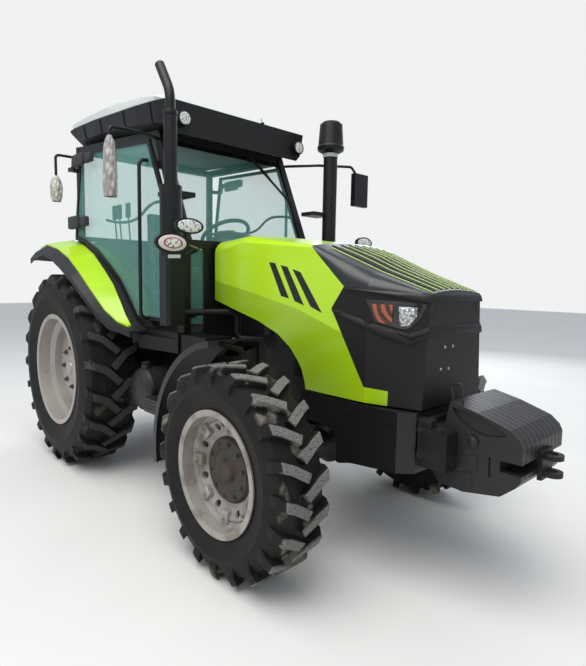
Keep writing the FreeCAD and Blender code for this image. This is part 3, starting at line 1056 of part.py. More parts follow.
def link_y(x):
    """The lower link's distance from the middle at x."""
    return LINK_Y_FRONT + (LINK_Y_REAR - LINK_Y_FRONT) * (x - HITCH_PIVOT_X) / (LINK_END_X - HITCH_PIVOT_X)


def link_section(x, z):
    y, half, rise = link_y(x), LINK_THICK / 2, LINK_HALF_HEIGHT
    return [(x, y - half, z - rise), (x, y + half, z - rise), (x, y + half, z + rise), (x, y - half, z + rise)]


ROD_FOOT_X = HITCH_PIVOT_X - LIFT_REACH
ARM_TIP_X = LIFT_SHAFT_X - LIFT_REACH
lower_link = joined(
    skin_loft([link_section(HITCH_PIVOT_X, HITCH_PIVOT_Z), link_section(LINK_END_X, LINK_END_Z)]),
    rod((HITCH_PIVOT_X, LINK_Y_FRONT - 14, HITCH_PIVOT_Z), (HITCH_PIVOT_X, LINK_Y_FRONT + 14, HITCH_PIVOT_Z),
        36),
    rod((LINK_END_X, LINK_Y_REAR - 22, LINK_END_Z), (LINK_END_X, LINK_Y_REAR + 22, LINK_END_Z),
        LINK_HALF_HEIGHT))
lower_link = lower_link.cut(rod((HITCH_PIVOT_X, 0, HITCH_PIVOT_Z), (HITCH_PIVOT_X, 600, HITCH_PIVOT_Z), 16.3))
lower_link = lower_link.cut(rod((LINK_END_X, 0, LINK_END_Z), (LINK_END_X, 600, LINK_END_Z), BALL_RADIUS))
rod_foot_y = link_y(ROD_FOOT_X)
rod_foot_pin = rod((ROD_FOOT_X, rod_foot_y - 38, HITCH_PIVOT_Z), (ROD_FOOT_X, rod_foot_y, HITCH_PIVOT_Z), 12)
link_brace = rod((-2050, -link_y(-2050), HITCH_PIVOT_Z), (-2050, link_y(-2050), HITCH_PIVOT_Z), 14)
node("lower_links", joined(*both_sides(lower_link, rod_foot_pin), link_brace))

lift_arm = joined(
    side_plate([(LIFT_SHAFT_X + 10, LIFT_SHAFT_Z - 40), (LIFT_SHAFT_X + 10, LIFT_SHAFT_Z + 40),
                (ARM_TIP_X, LIFT_SHAFT_Z + 24),
                (ARM_TIP_X, LIFT_SHAFT_Z - 24)], ARM_Y - 14, ARM_Y + 14),
    rod((ARM_TIP_X, ARM_Y - 14, LIFT_SHAFT_Z), (ARM_TIP_X, ARM_Y + 14, LIFT_SHAFT_Z), 24),
    rod((ARM_TIP_X, ARM_Y, LIFT_SHAFT_Z), (ARM_TIP_X, ARM_Y + 42, LIFT_SHAFT_Z), 12),
    rod((LIFT_SHAFT_X, ARM_Y - 14, LIFT_SHAFT_Z), (LIFT_SHAFT_X, ARM_Y + 14, LIFT_SHAFT_Z), 48))
lift_shaft = rod((LIFT_SHAFT_X, -ARM_Y, LIFT_SHAFT_Z), (LIFT_SHAFT_X, ARM_Y, LIFT_SHAFT_Z), 30)
node("lift_arms", joined(*both_sides(lift_arm), lift_shaft))

eye_y_top, eye_y_low = ARM_Y + 28, rod_foot_y - 26
lift_rod = joined(
    rod((ARM_TIP_X, eye_y_top - 9, LIFT_SHAFT_Z), (ARM_TIP_X, eye_y_top + 9, LIFT_SHAFT_Z), ROD_EYE_RADIUS),
    rod((ROD_FOOT_X, eye_y_low - 9, HITCH_PIVOT_Z), (ROD_FOOT_X, eye_y_low + 9, HITCH_PIVOT_Z), ROD_EYE_RADIUS),
    rod((ARM_TIP_X, eye_y_top, LIFT_SHAFT_Z - 8), (ROD_FOOT_X, eye_y_low, HITCH_PIVOT_Z + 8), 12))
for x, z in ((ARM_TIP_X, LIFT_SHAFT_Z), (ROD_FOOT_X, HITCH_PIVOT_Z)):
    lift_rod = lift_rod.cut(rod((x, 0, z), (x, 600, z), 12.05))
node("lift_rods", *both_sides(lift_rod))

# Hitch frame behind the axle housing: lift shaft bearings, lower link pins, drawbar, power take-off and top link
HOUSING_REAR_X = -1560.0
hitch = joined(
    box(HOUSING_REAR_X - 40, HOUSING_REAR_X - SEAT_GAP, -280, 280, 420, 1060),
    *both_sides(box(LIFT_SHAFT_X - 45, HOUSING_REAR_X - 30, 150, 205, LIFT_SHAFT_Z - 45, LIFT_SHAFT_Z + 45),
                rod((HITCH_PIVOT_X, 270, HITCH_PIVOT_Z), (HITCH_PIVOT_X, LINK_Y_FRONT + 30, HITCH_PIVOT_Z), 16),
                box(HITCH_PIVOT_X - 25, HITCH_PIVOT_X + 10, 250, 290, HITCH_PIVOT_Z - 60, HITCH_PIVOT_Z + 60)),
    box(HOUSING_REAR_X - 130, HOUSING_REAR_X - 20, -45, -25, 900, 990),
    box(HOUSING_REAR_X - 130, HOUSING_REAR_X - 20, 25, 45, 900, 990),
    box(-1900, HOUSING_REAR_X - 20, -40, 40, 420, 450))
hitch = hitch.cut(rod((LIFT_SHAFT_X, -300, LIFT_SHAFT_Z), (LIFT_SHAFT_X, 300, LIFT_SHAFT_Z), 30.05))
hitch = hitch.cut(rod((-1860, 0, 380), (-1860, 0, 480), 16))
hitch = hitch.cut(rod((HOUSING_REAR_X - 105, -100, 945), (HOUSING_REAR_X - 105, 100, 945), 12.9))
node("hitch_frame", hitch)
PTO_Z = 640.0
pto = rod((HOUSING_REAR_X - 115, 0, PTO_Z), (HOUSING_REAR_X - 30, 0, PTO_Z), 17.5)
node("pto_shaft", pto.cut(hitch))

parts_dir = "parts"
os.makedirs(parts_dir, exist_ok=True)
for name, shape in NODES.items():
    shape.exportStep(os.path.join(parts_dir, name + ".step"))
    print(name, len(shape.Solids), round(shape.Volume / 1e6, 2), "valid" if shape.isValid() else "NOT VALID")
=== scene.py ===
"""A four-wheel-drive farm tractor with a closed cab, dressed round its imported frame. Metres, +X forward, +Z up."""

import math

import bpy
from mathutils import Matrix, Vector


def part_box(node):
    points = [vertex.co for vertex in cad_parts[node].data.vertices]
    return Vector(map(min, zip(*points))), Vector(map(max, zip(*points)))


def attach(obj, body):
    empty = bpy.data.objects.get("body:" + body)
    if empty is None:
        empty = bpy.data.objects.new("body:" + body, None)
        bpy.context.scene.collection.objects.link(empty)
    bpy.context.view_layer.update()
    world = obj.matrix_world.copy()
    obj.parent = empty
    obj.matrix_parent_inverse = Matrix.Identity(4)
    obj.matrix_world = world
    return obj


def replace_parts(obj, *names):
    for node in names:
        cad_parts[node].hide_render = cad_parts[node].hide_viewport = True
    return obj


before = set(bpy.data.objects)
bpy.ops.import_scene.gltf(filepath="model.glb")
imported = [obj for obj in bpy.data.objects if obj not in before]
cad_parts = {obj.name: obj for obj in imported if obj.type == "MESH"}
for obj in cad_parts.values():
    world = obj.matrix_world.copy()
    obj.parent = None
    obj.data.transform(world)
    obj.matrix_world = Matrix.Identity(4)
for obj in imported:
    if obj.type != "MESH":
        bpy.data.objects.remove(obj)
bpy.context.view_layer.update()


# Studio: a wide pale floor, a pale sky all round and one large soft lamp high on the camera's side.
# The floor and sky show pale to the camera, and the lamp only shapes the tractor.
class Wire:
    """An output of a material's nodes, on which plain arithmetic adds Math nodes."""

    def __init__(self, finish, socket):
        self.finish = finish
        self.socket = socket

    def reckon(self, operation, *terms):
        """A Math node that works on wires and numbers."""
        return self.finish.node("ShaderNodeMath", {"operation": operation}, dict(enumerate(terms)))

    def __add__(self, other):
        return self.reckon("ADD", self, other)

    def __radd__(self, other):
        return self.reckon("ADD", other, self)

    def __sub__(self, other):
        return self.reckon("SUBTRACT", self, other)

    def __rsub__(self, other):
        return self.reckon("SUBTRACT", other, self)

    def __mul__(self, other):
        return self.reckon("MULTIPLY", self, other)

    def __rmul__(self, other):
        return self.reckon("MULTIPLY", other, self)

    def __truediv__(self, other):
        return self.reckon("DIVIDE", self, other)

    def __gt__(self, other):
        return self.reckon("GREATER_THAN", self, other)

    def __lt__(self, other):
        return self.reckon("LESS_THAN", self, other)

    def __abs__(self):
        return self.reckon("ABSOLUTE", self)

    def __pow__(self, other):
        return self.reckon("POWER", self, other)

    def smaller(self, other):
        return self.reckon("MINIMUM", self, other)

    def larger(self, other):
        return self.reckon("MAXIMUM", self, other)

    def wave(self):
        return self.reckon("SINE", self)

    def ramp(self, low, high):
        """0 below low and 1 above high, with a smooth run between them."""
        return self.finish.node(
            "ShaderNodeMapRange", {"interpolation_type": "SMOOTHSTEP"}, {0: self, 1: low, 2: high, 3: 0.0, 4: 1.0})


class Finish:
    """A material with one Principled shader."""

    def __init__(self, name, **shader):
        self.material = bpy.data.materials.new(name)
        self.material.use_nodes = True
        self.tree = self.material.node_tree
        self.shader = self.tree.nodes["Principled BSDF"]
        self.set(**shader)

    def node(self, kind, settings, inputs, output=0):
        """A new node with its settings and inputs, each input a value or a wire."""
        made = self.tree.nodes.new(kind)
        for name, value in settings.items():
            setattr(made, name, value)
        for key, value in inputs.items():
            if isinstance(value, Wire):
                self.tree.links.new(value.socket, made.inputs[key])
            else:
                made.inputs[key].default_value = value
        return Wire(self, made.outputs[output])

    def set(self, **sockets):
        """Sets or links the shader's sockets, named with underscores."""
        for name, value in sockets.items():
            socket = self.shader.inputs[name.replace("_", " ")]
            if isinstance(value, Wire):
                self.tree.links.new(value.socket, socket)
            else:
                socket.default_value = (*value, 1.0) if isinstance(value, tuple) else value

    def spot(self):
        """The point on the object, as a vector."""
        return self.node("ShaderNodeTexCoord", {}, {}, output=3)

    def axes(self):
        """The point's x, y and z."""
        parts = self.node("ShaderNodeSeparateXYZ", {}, {0: self.spot()}).socket.node
        return [Wire(self, socket) for socket in parts.outputs]

    def stretched(self, x, y, z):
        """The point with each axis scaled, for a grain that runs one way."""
        return self.node("ShaderNodeVectorMath", {"operation": "MULTIPLY"}, {0: self.spot(), 1: (x, y, z)})

    def noise(self, scale, detail=3.0):
        """A soft random grain from 0 to 1, with about scale grains a metre."""
        return self.node("ShaderNodeTexNoise", {}, {"Vector": self.spot(), "Scale": scale, "Detail": detail})

    def cells(self, scale, at=None):
        """Round cells, 0 in their middles."""
        return self.node("ShaderNodeTexVoronoi", {}, {"Vector": at or self.spot(), "Scale": scale})

    def mix(self, share, low, high):
        """A colour between two, each given as three numbers or as a wire."""
        low, high = [c if isinstance(c, Wire) else (*c, 1.0) for c in (low, high)]
        return self.node("ShaderNodeMix", {"data_type": "RGBA"}, {0: share, 6: low, 7: high}, output=2)

    def bump(self, height, depth):
        """Adds a relief of that depth in metres to the surface."""
        self.set(Normal=self.node("ShaderNodeBump", {}, {"Height": height, "Distance": depth, "Strength": 1.0}))


FLOOR_REACH = 60.0
FLOOR_GREY = (0.79, 0.775, 0.745)
FLOOR_SHADE = tuple(c * 0.96 for c in FLOOR_GREY)
SKY_SHOWN = (0.88, 0.885, 0.89)
SKY_LIGHT = (0.80, 0.86, 0.95)
SKY_STRENGTH = 0.72

bpy.ops.object.select_all(action="DESELECT")
bpy.ops.mesh.primitive_plane_add(size=FLOOR_REACH, location=(0, 0, -0.001))
floor = bpy.context.object
floor.name = "floor"
board = Finish("pale_floor", Roughness=0.85)
board.set(Base_Color=board.mix(board.noise(0.7, 5.0).ramp(0.35, 0.7), FLOOR_GREY, FLOOR_SHADE))
floor.data.materials.append(board.material)

sky = bpy.data.worlds.new("sky")
bpy.context.scene.world = sky
sky.use_nodes = True
sky_nodes, sky_links = sky.node_tree.nodes, sky.node_tree.links
sky_light = sky_nodes["Background"]
sky_light.inputs["Color"].default_value = (*SKY_LIGHT, 1.0)
sky_light.inputs["Strength"].default_value = SKY_STRENGTH
sky_shown = sky_nodes.new("ShaderNodeBackground")
sky_shown.inputs["Color"].default_value = (*SKY_SHOWN, 1.0)
rays = sky_nodes.new("ShaderNodeLightPath")
seen = sky_nodes.new("ShaderNodeMath")
seen.operation = "MAXIMUM"
sky_links.new(rays.outputs["Is Camera Ray"], seen.inputs[0])
sky_links.new(rays.outputs["Is Transmission Ray"], seen.inputs[1])
sky_mix = sky_nodes.new("ShaderNodeMixShader")
sky_links.new(seen.outputs[0], sky_mix.inputs[0])
sky_links.new(sky_light.outputs[0], sky_mix.inputs[1])
sky_links.new(sky_shown.outputs[0], sky_mix.inputs[2])
sky_links.new(sky_mix.outputs[0], sky_nodes["World Output"].inputs[0])


def soft_lamp(name, place, target, size, watts, colour):
    """A square area lamp that faces a target."""
    lamp = bpy.data.lights.new(name, "AREA")
    lamp.size = size
    lamp.energy = watts
    lamp.color = colour
    holder = bpy.data.objects.new(name, lamp)
    bpy.context.scene.collection.objects.link(holder)
    holder.location = place
    holder.rotation_euler = (Vector(target) - Vector(place)).to_track_quat("-Z", "Y").to_euler()


soft_lamp("overhead_lamp", (1.5, -3.5, 8.0), (0, 0, 1.0), 7.0, 620.0, (1.0, 0.98, 0.95))
soft_lamp("left_lamp", (-3.0, 7.0, 4.5), (0, 0, 1.2), 5.0, 220.0, (0.93, 0.97, 1.0))

# Camera: a phone held at chest height off the tractor's right front corner, a little tilted.
# Its place, turn and focus were fitted to the wheels, the cab and the hood in the photograph.
CAMERA_PLACE = Vector((3.145, -2.443, 1.546))
CAMERA_YAW, CAMERA_PITCH, CAMERA_ROLL = math.radians(136.82), math.radians(-5.73), math.radians(0.99)
CAMERA_FOCUS_PIXELS, FRAME_HEIGHT_PIXELS = 516.1, 666.0
SENSOR_MM = 36.0

ahead = Vector((math.cos(CAMERA_YAW) * math.cos(CAMERA_PITCH), math.sin(CAMERA_YAW) * math.cos(CAMERA_PITCH),
                math.sin(CAMERA_PITCH)))
level_right = Vector((math.sin(CAMERA_YAW), -math.cos(CAMERA_YAW), 0))
level_up = level_right.cross(ahead)
right = level_right * math.cos(CAMERA_ROLL) + level_up * math.sin(CAMERA_ROLL)
up = level_up * math.cos(CAMERA_ROLL) - level_right * math.sin(CAMERA_ROLL)
lens = bpy.data.cameras.new("camera")
lens.sensor_width = SENSOR_MM
lens.lens = SENSOR_MM * CAMERA_FOCUS_PIXELS / FRAME_HEIGHT_PIXELS
camera = bpy.data.objects.new("camera", lens)
bpy.context.scene.collection.objects.link(camera)
camera.matrix_world = Matrix.Translation(CAMERA_PLACE) @ Matrix((right, up, -ahead)).transposed().to_4x4()
bpy.context.scene.camera = camera
bpy.context.scene.view_settings.view_transform = "Standard"


# Rear tyres: dark ribbed rubber with deep chevron lugs, worn paler and speckled on top.
# Each is seated on its rim's two beads, and a thin dust lies on its sides.
def dress(finish, *nodes):
    """Gives CAD nodes one finish."""
    for name in nodes:
        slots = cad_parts[name].data.materials
        slots.clear()
        slots.append(finish.material)


RUBBER = (0.0085, 0.0083, 0.0080)
DUSTY_RUBBER = (0.020, 0.0185, 0.0165)
DRIED_MUD = (0.20, 0.185, 0.15)
REAR_LUG_TOP = (0.050, 0.048, 0.045)
LUG_SPECK = (0.022, 0.021, 0.020)
# Depth below a lug's tip at which its wear starts and is full, and the tread's start as shares of the radius
WEAR_START, WEAR_FULL = 0.013, 0.005
TREAD_START, TREAD_FULL = 0.86, 0.93
SIDE_RINGS = 520.0


def tyre_rubber(name, lug_top, mud_share):
    """Rubber about the node's own axle: worn lug tops, a dusty side and mud in the tread."""
    low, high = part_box(name)
    middle = (low + high) / 2
    tip = (high.z - low.z) / 2
    rubber = Finish(name + "_rubber", Roughness=0.78, Specular_IOR_Level=0.22)
    x, y, z = rubber.axes()
    radius = ((x - middle.x) ** 2.0 + (z - middle.z) ** 2.0) ** 0.5
    top = radius.ramp(tip - WEAR_START, tip - WEAR_FULL)
    side = rubber.mix(rubber.noise(5.0, 6.0).ramp(0.40, 0.75) * 0.6, RUBBER, DUSTY_RUBBER)
    tread = radius.ramp(tip * TREAD_START, tip * TREAD_FULL)
    mud = rubber.noise(7.5, 5.0).ramp(0.56, 0.66) * tread * mud_share
    side = rubber.mix(mud, side, DRIED_MUD)
    speck = rubber.noise(190.0, 2.0).ramp(0.48, 0.60)
    worn_top = rubber.mix(speck * 0.75, lug_top, LUG_SPECK)
    rubber.set(Base_Color=rubber.mix(top, side, worn_top), Roughness=0.62 + top * 0.25 + mud * 0.2)
    rubber.bump((radius * SIDE_RINGS).wave() * (1 - tread) * 0.5 + rubber.noise(260.0, 2.0), 0.0006)
    return rubber


for side in ("left", "right"):
    dress(tyre_rubber(f"rear_tyre_{side}", REAR_LUG_TOP, 0.25), f"rear_tyre_{side}")

# Rear rims: pressed steel in silver beige paint, with mud in the well.
# Eight nuts on studs hold each disc to its axle flange.
RIM_SILVER = (0.40, 0.368, 0.34)
RIM_MUD = (0.17, 0.145, 0.115)
NUT_STEEL, NUT_RUST = (0.09, 0.085, 0.08), (0.16, 0.12, 0.09)
REAR_STUDS, REAR_STUD_CIRCLE = 8, 0.165
REAR_NUT_RADIUS, REAR_NUT_HEIGHT = 0.017, 0.022
NUT_SINK = 0.001
# Well outside the tractor, where the straight lines that look for its skin start
AHEAD_X, WIDE_Y, HIGH_Z = 3.0, 1.4, 3.4

silver = Finish("rim_silver", Roughness=0.40, Metallic=0.3)
mud = silver.noise(6.0, 6.0).ramp(0.52, 0.76)
silver.set(Base_Color=silver.mix(mud * 0.45, RIM_SILVER, RIM_MUD), Roughness=0.38 + mud * 0.35)
silver.bump(silver.noise(70.0, 3.0), 0.0008)
dress(silver, "rear_rim_left", "rear_rim_right")

nut_steel = Finish("nut_steel", Metallic=0.6, Roughness=0.45)
nut_steel.set(Base_Color=nut_steel.mix(nut_steel.noise(60.0, 3.0).ramp(0.4, 0.7), NUT_STEEL, NUT_RUST))


def start():
    """Leaves nothing selected, ready for a new mesh."""
    bpy.ops.object.select_all(action="DESELECT")


def pick(made):
    """Makes one object the only one that is selected, and active."""
    start()
    made.select_set(True)
    bpy.context.view_layer.objects.active = made


def soften(width, segments=2):
    """Rounds the active piece's sharp edges and smooths its skin between them."""
    edges = bpy.context.object.modifiers.new("edges", "BEVEL")
    edges.width, edges.segments = width, segments
    edges.limit_method, edges.angle_limit = "ANGLE", math.radians(40)
    bpy.ops.object.modifier_apply(modifier="edges")
    bpy.ops.object.shade_smooth_by_angle(angle=math.radians(38))


def joined(pieces):
    """Joins pieces into the first of them."""
    start()
    for piece in pieces:
        piece.select_set(True)
    bpy.context.view_layer.objects.active = pieces[0]
    bpy.ops.object.join()
    return pieces[0]


def spread(places):
    """Copies the active piece, which stands at the first place, to the others, as one mesh."""
    model = bpy.context.object
    pieces = [model]
    for place in places[1:]:
        pick(model)
        bpy.ops.object.duplicate()
        bpy.ops.transform.translate(value=Vector(place) - Vector(places[0]))
        pieces.append(bpy.context.object)
    return joined(pieces)


def keep(name, finish, body):
    """Names the active piece, lays its place in its mesh, gives it its finish and rides it on a body."""
    made = bpy.context.object
    bpy.ops.object.transform_apply(location=True, rotation=True, scale=True)
    made.name = made.data.name = name
    made.data.materials.clear()
    made.data.materials.append(finish.material)
    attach(made, body)
    return made


def rod(low_end, high_end, radius, sides=16):
    """A round bar between two points."""
    low_end, high_end = Vector(low_end), Vector(high_end)
    run = high_end - low_end
    start()
    bpy.ops.mesh.primitive_cylinder_add(vertices=sides, radius=radius, depth=run.length,
                                        location=(low_end + high_end) / 2,
                                        rotation=run.to_track_quat("Z", "Y").to_euler())
    return bpy.context.object


# Sides, then radius, lower and upper end as shares of the nut's own, for its washer, hexagon and stud end
NUT_PARTS = [(20, 1.4, 0.0, 0.25), (6, 1.0, 0.25, 1.0), (12, 0.5, 1.0, 1.4)]


def nut(place, way, radius, height):
    """A hexagon nut on a round washer, with its stud's end through it."""
    place, rise = Vector(place), Vector(way) * height
    joined([rod(place + rise * low, place + rise * high, radius * size, sides)
            for sides, size, low, high in NUT_PARTS])
    soften(radius * 0.12)


def touch(node, place, way):
    """Where a straight line first meets a CAD node."""
    met, point, _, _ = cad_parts[node].ray_cast(Vector(place), Vector(way))
    if not met:
        raise SystemExit(f"nothing of {node} lies before {tuple(place)}")
    return point


def beside(node, x, z, way):
    """Where a CAD node's left (1) or right (-1) side is met at x and z."""
    return touch(node, (x, WIDE_Y * way, z), (0, -way, 0))


def above(node, x, y):
    """Where a CAD node's top is met at x and y."""
    return touch(node, (x, y, HIGH_Z), (0, 0, -1))


def ring_of(middle, radius, count, turn=0.0):
    """Points round a cross axle, in its plane."""
    angles = [turn + 2 * math.pi * k / count for k in range(count)]
    return [middle + Vector((radius * math.cos(angle), 0, radius * math.sin(angle))) for angle in angles]


for side, way in (("left", 1), ("right", -1)):
    low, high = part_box(f"rear_rim_{side}")
    centre = (low + high) / 2
    disc = beside(f"rear_rim_{side}", centre.x + REAR_STUD_CIRCLE, centre.z, way)
    foot = Vector((centre.x, disc.y - NUT_SINK * way, centre.z))
    places = ring_of(foot, REAR_STUD_CIRCLE, REAR_STUDS)
    nut(places[0], (0, way, 0), REAR_NUT_RADIUS, REAR_NUT_HEIGHT)
    spread(places)
    keep(f"rear_nuts_{side}", nut_steel, f"rear_wheel_{side}")

# Front tyres and rims: the same rubber, with pale dried mud left between the lugs and pale worn tops.
# The rim's eight welded lugs carry its disc, which is bolted round the hub's planetary drum.
FRONT_LUG_TOP = (0.20, 0.195, 0.182)
FRONT_SILVER, FRONT_RUST = (0.36, 0.335, 0.305), (0.15, 0.115, 0.092)
HUB_RUST, HUB_OLIVE = (0.070, 0.048, 0.034), (0.030, 0.027, 0.020)
RIM_LUGS, LUG_CIRCLE = 8, 0.246
LUG_HALF_LENGTH, LUG_HALF_WIDTH, LUG_HEIGHT, LUG_SINK = 0.035, 0.03, 0.030, 0.002
LUG_NUT_RADIUS, LUG_NUT_HEIGHT = 0.013, 0.014
DRUM_BOLTS, DRUM_BOLT_CIRCLE, DRUM_BOLT_TURN = 10, 0.14, 0.2
DRUM_BOLT_RADIUS, DRUM_BOLT_HEIGHT = 0.011, 0.010
PLUG_RADIUS, PLUG_DEPTH, PLUG_RISE = 0.05, 0.02, 0.012

for side in ("left", "right"):
    dress(tyre_rubber(f"front_tyre_{side}", FRONT_LUG_TOP, 1.0), f"front_tyre_{side}")
front_silver = Finish("front_rim_silver", Roughness=0.42, Metallic=0.25)
rust = front_silver.noise(8.0, 6.0).ramp(0.44, 0.66)
front_silver.set(Base_Color=front_silver.mix(rust * 0.55, FRONT_SILVER, FRONT_RUST), Roughness=0.40 + rust * 0.35)
front_silver.bump(front_silver.noise(60.0, 4.0), 0.0012)
dress(front_silver, "front_rim_left", "front_rim_right")

hub_cast = Finish("hub_casting", Roughness=0.6)
scale_rust = hub_cast.noise(14.0, 6.0).ramp(0.42, 0.64)
hub_cast.set(Base_Color=hub_cast.mix(scale_rust, HUB_OLIVE, HUB_RUST), Roughness=0.55 + scale_rust * 0.3)
hub_cast.bump(hub_cast.noise(70.0, 5.0), 0.003)
dress(hub_cast, "front_hub_left", "front_hub_right")


def block(corner, opposite, edge, segments=3):
    """A rectangular piece between two opposite corners, with rounded edges."""
    corner, opposite = Vector(corner), Vector(opposite)
    start()
    bpy.ops.mesh.primitive_cube_add(size=1, location=(corner + opposite) / 2)
    bpy.context.object.scale = [abs(size) for size in opposite - corner]
    bpy.ops.object.transform_apply(location=False, rotation=False, scale=True)
    soften(edge, segments)
    return bpy.context.object


def around(centre, count):
    """Copies the active piece evenly round a cross axle, as one mesh."""
    model = bpy.context.object
    pieces = [model]
    for k in range(1, count):
        pick(model)
        bpy.ops.object.duplicate()
        bpy.ops.transform.rotate(value=2 * math.pi * k / count, orient_axis="Y", center_override=centre)
        pieces.append(bpy.context.object)
    return joined(pieces)


for side, way in (("left", 1), ("right", -1)):
    low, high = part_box(f"front_rim_{side}")
    centre = (low + high) / 2
    lug_x = centre.x + LUG_CIRCLE
    disc = beside(f"front_rim_{side}", lug_x - 0.02, centre.z, way)
    lug_top = disc.y + LUG_HEIGHT * way
    lug = block((lug_x - LUG_HALF_LENGTH, disc.y - LUG_SINK * way, centre.z - LUG_HALF_WIDTH),
                (lug_x + LUG_HALF_LENGTH, lug_top, centre.z + LUG_HALF_WIDTH), 0.008)
    nut((lug_x, lug_top, centre.z), (0, way, 0), LUG_NUT_RADIUS, LUG_NUT_HEIGHT)
    joined([lug, bpy.context.object])
    around(Vector((centre.x, 0, centre.z)), RIM_LUGS)
    keep(f"rim_lugs_{side}", front_silver, f"front_wheel_{side}")
    drum = beside(f"front_hub_{side}", centre.x + DRUM_BOLT_CIRCLE, centre.z, way)
    foot = Vector((centre.x, drum.y - NUT_SINK * way, centre.z))
    places = ring_of(foot, DRUM_BOLT_CIRCLE, DRUM_BOLTS, DRUM_BOLT_TURN)
    nut(places[0], (0, way, 0), DRUM_BOLT_RADIUS, DRUM_BOLT_HEIGHT)
    bolts = spread(places)
    plug = rod((centre.x, drum.y - PLUG_DEPTH * way, centre.z), (centre.x, drum.y + PLUG_RISE * way, centre.z),
               PLUG_RADIUS, 32)
    soften(0.004)
    joined([bolts, plug])
    keep(f"drum_bolts_{side}", hub_cast, f"front_wheel_{side}")

# Axle, backbone and linkage: rough cast iron and forged steel in dark paint, dusty low down.
# They are bolted end to end, and bolt heads run along the front support's sides.
CAST_DARK = (0.0075, 0.0070, 0.0066)
CAST_DUST = (0.045, 0.040, 0.033)
BRIGHT_STEEL = (0.55, 0.55, 0.56)
SUPPORT_BOLT_XS, SUPPORT_BOLT_ZS = (1.14, 1.24), (0.78, 0.84)
SUPPORT_BOLT_RADIUS, SUPPORT_BOLT_HEIGHT = 0.011, 0.010


def cast_iron(name, colour, dust_share, roughness):
    """Painted iron with a sandy skin and dust in patches."""
    cast = Finish(name, Roughness=roughness, Specular_IOR_Level=0.35)
    dust = cast.noise(6.0, 6.0).ramp(0.45, 0.75) * dust_share
    cast.set(Base_Color=cast.mix(dust, colour, CAST_DUST), Roughness=roughness + dust * 0.3)
    cast.bump(cast.noise(140.0, 4.0), 0.0008)
    return cast


casting = cast_iron("dark_casting", CAST_DARK, 0.5, 0.48)
dress(casting, "front_axle", "knuckle_left", "knuckle_right", "gearbox", "front_support", "hitch_frame",
      "lower_links", "lift_arms", "lift_rods", "steering_cylinder", "weight_carrier", "tow_clevis")

steel = Finish("bright_steel", Metallic=1.0, Base_Color=BRIGHT_STEEL)
steel.set(Roughness=0.25 + steel.noise(60.0, 3.0) * 0.2)
dress(steel, "steering_rod", "pto_shaft")

for side, way in (("left", 1), ("right", -1)):
    places = [beside("front_support", x, z, way) for x in SUPPORT_BOLT_XS for z in SUPPORT_BOLT_ZS]
    nut(places[0], (0, way, 0), SUPPORT_BOLT_RADIUS, SUPPORT_BOLT_HEIGHT)
    spread(places)
    keep(f"support_bolts_{side}", casting, "chassis")

# Engine: castings, pump, filters and runners in dark paint, bolted between the gearbox and the front support.
# Oily dust lies in patches, and the paint has gone from a few spots.
ENGINE_DARK, ENGINE_DUST, BARE_IRON = (0.008, 0.008, 0.008), (0.040, 0.036, 0.030), (0.12, 0.115, 0.11)

engine_cast = Finish("engine_casting", Roughness=0.45, Specular_IOR_Level=0.35)
grime = engine_cast.noise(9.0, 6.0).ramp(0.42, 0.70)
bare = engine_cast.noise(11.0, 2.0).ramp(0.66, 0.74)
oily = engine_cast.mix(grime * 0.8, ENGINE_DARK, ENGINE_DUST)
engine_cast.set(Base_Color=engine_cast.mix(bare * 0.7, oily, BARE_IRON), Metallic=bare * 0.6,
                Roughness=0.40 + grime * 0.25)
engine_cast.bump(engine_cast.noise(120.0, 4.0), 0.0015)
dress(engine_cast, "engine")

# Front weights: cast slabs hooked on a carrier, in satin dark paint, held together by one cross bolt.
# The bolt's domed head stands on the outer slab, and two bolts a side hold the carrier to the support.
WEIGHT_DARK = (0.020, 0.0175, 0.0175)
CROSS_BOLT_X, CROSS_BOLT_Z = 2.019, 0.822
DOME_RADIUS, DOME_FLATNESS = 0.02, 0.6
WASHER_RADIUS, WASHER_THICK = 0.028, 0.006
CARRIER_BOLT_X, CARRIER_BOLT_ZS = 1.80, (0.72, 0.84)
CARRIER_BOLT_RADIUS, CARRIER_BOLT_HEIGHT = 0.014, 0.013

slab = cast_iron("weight_casting", WEIGHT_DARK, 0.12, 0.40)
dress(slab, "front_weights")
for side, way in (("left", 1), ("right", -1)):
    place = beside("front_weights", CROSS_BOLT_X, CROSS_BOLT_Z, way)
    start()
    bpy.ops.mesh.primitive_uv_sphere_add(segments=24, ring_count=12, radius=DOME_RADIUS, location=place)
    dome = bpy.context.object
    bpy.ops.transform.resize(value=(1, DOME_FLATNESS, 1))
    bpy.ops.object.shade_smooth()
    rod(place, place + Vector((0, WASHER_THICK * way, 0)), WASHER_RADIUS, 28)
    soften(0.002)
    joined([dome, bpy.context.object])
    keep(f"weight_bolt_{side}", slab, "chassis")
for side, way in (("right", -1), ("left", 1)):
    places = [beside("weight_carrier", CARRIER_BOLT_X, z, way) for z in CARRIER_BOLT_ZS]
    nut(places[0], (0, way, 0), CARRIER_BOLT_RADIUS, CARRIER_BOLT_HEIGHT)
    spread(places)
    keep(f"carrier_bolts_{side}", casting, "chassis")

# Lower cover and radiator: a moulded dark panel screwed to the front support,
# and a core of fine fins between two tanks, which stands on the support's rails.
COVER_BROWN = (0.0100, 0.0080, 0.0076)
FIN_GAP_SHADE, FIN_LIT, FIN_PITCH = (0.006, 0.006, 0.006), (0.045, 0.045, 0.046), 900.0


